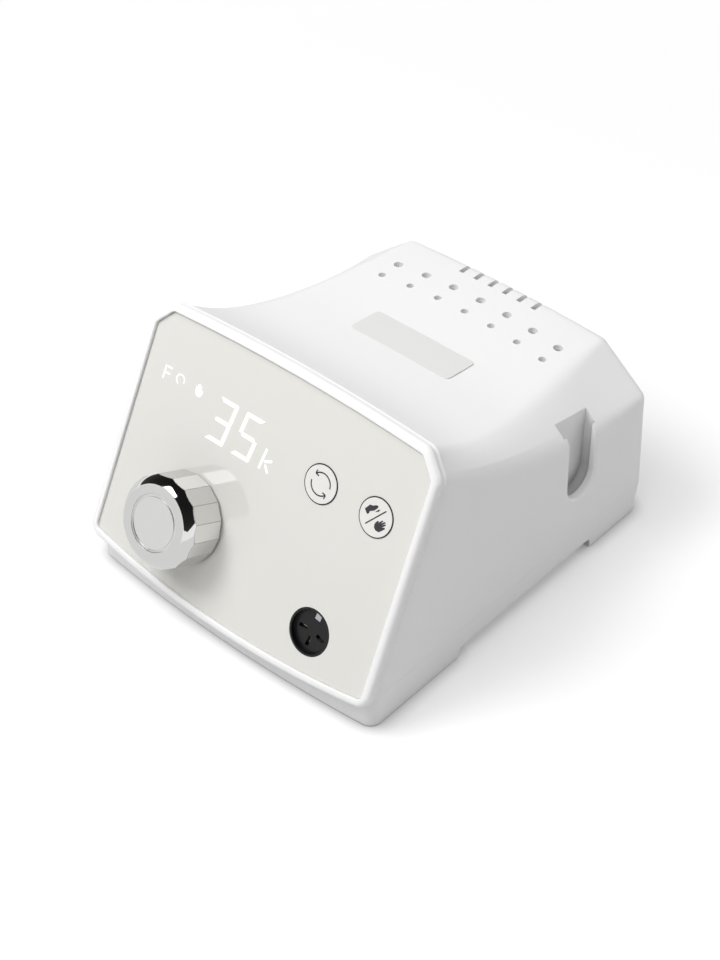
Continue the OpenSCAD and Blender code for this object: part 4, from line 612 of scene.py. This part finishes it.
# A wide soft box overhead, a weak one behind at the right and the key light, all turned to one spot.
# "level" is what each gives a surface that faces it, as a share of white.
lamps = {
    "topBox": {"toward": (-0.08, -0.36, 0.925), "away": 1.3, "size": 1.3, "level": 0.61},
    "rightBox": {"toward": (0.6, 0.7, 0.4), "away": 0.7, "size": 0.5, "level": 0.13},
    "keyBox": {"toward": (-0.36, -0.434, 0.826), "away": 1.4, "size": 0.6, "level": 0.44},
}
lampSpot = (0, 0, 40)
aim = Vector(lampSpot) * mm


def aimAt(thing, look):
    # stands a lamp or its cloth off the spot and turns it there
    toward = Vector(look["toward"]).normalized()
    thing.location = aim + toward * look["away"]
    thing.rotation_euler = toward.to_track_quat("Z", "Y").to_euler()


for name, look in lamps.items():
    lamp = bpy.data.lights.new(name, "AREA")
    lamp.size = look["size"]
    lamp.energy = math.pi ** 2 * look["away"] ** 2 * look["level"]
    box = bpy.data.objects.new(name, lamp)
    aimAt(box, look)
    box.visible_glossy = False
    scene.collection.objects.link(box)

# The key light's white cloth, as polished surfaces show it
cloth = {"strength": 4.0}
keyCloth = addCard("keyCloth", lamps["keyBox"]["size"])
aimAt(keyCloth, lamps["keyBox"])
litCloth = newMaterial("litCloth")
clothLight = addNode(litCloth.node_tree, "ShaderNodeEmission", {"Strength": cloth["strength"]})
addNode(litCloth.node_tree, "ShaderNodeOutputMaterial", {"Surface": clothLight.outputs[0]})
keyCloth.data.materials.append(litCloth)
showInMirrorsOnly(keyCloth)

# Light that seeps through the white walls into the shell, seen in the slots and vents
seep = {"place": (0, 38, 52), "toward": (0, 0.35, 0.94), "size": (112, 40), "level": 0.2}
seepLamp = bpy.data.lights.new("seepLight", "AREA")
seepLamp.shape = "RECTANGLE"
seepLamp.size, seepLamp.size_y = (side * mm for side in seep["size"])
seepLamp.energy = math.pi ** 2 * seepLamp.size * seepLamp.size_y * seep["level"]
seepBox = bpy.data.objects.new("seepLight", seepLamp)
seepBox.location = Vector(seep["place"]) * mm
seepBox.rotation_euler = (-Vector(seep["toward"])).to_track_quat("Z", "Y").to_euler()
seepBox.visible_camera = False
seepBox.visible_glossy = False
scene.collection.objects.link(seepBox)

# Camera: the photograph's angle and lens
shot = {"azimuth": 41.814, "elevation": 41.764, "target": (-4.098, 2.060, 23.193), "away": 778.4,
        "film": 24.0, "lens": 53.924}
azimuth = math.radians(shot["azimuth"])
elevation = math.radians(shot["elevation"])
back = Vector((math.sin(azimuth) * math.cos(elevation), -math.cos(azimuth) * math.cos(elevation),
               math.sin(elevation)))
lens = bpy.data.cameras.new("camera")
lens.sensor_fit = "VERTICAL"
lens.sensor_height = shot["film"]
lens.lens = shot["lens"]
camera = bpy.data.objects.new("camera", lens)
camera.matrix_world = (Matrix.Translation((Vector(shot["target"]) + back * shot["away"]) * mm)
                       @ back.to_track_quat("Z", "Y").to_matrix().to_4x4())
scene.collection.objects.link(camera)
scene.camera = camera
scene.view_settings.view_transform = "Standard"
print("stage: floor, light and camera")
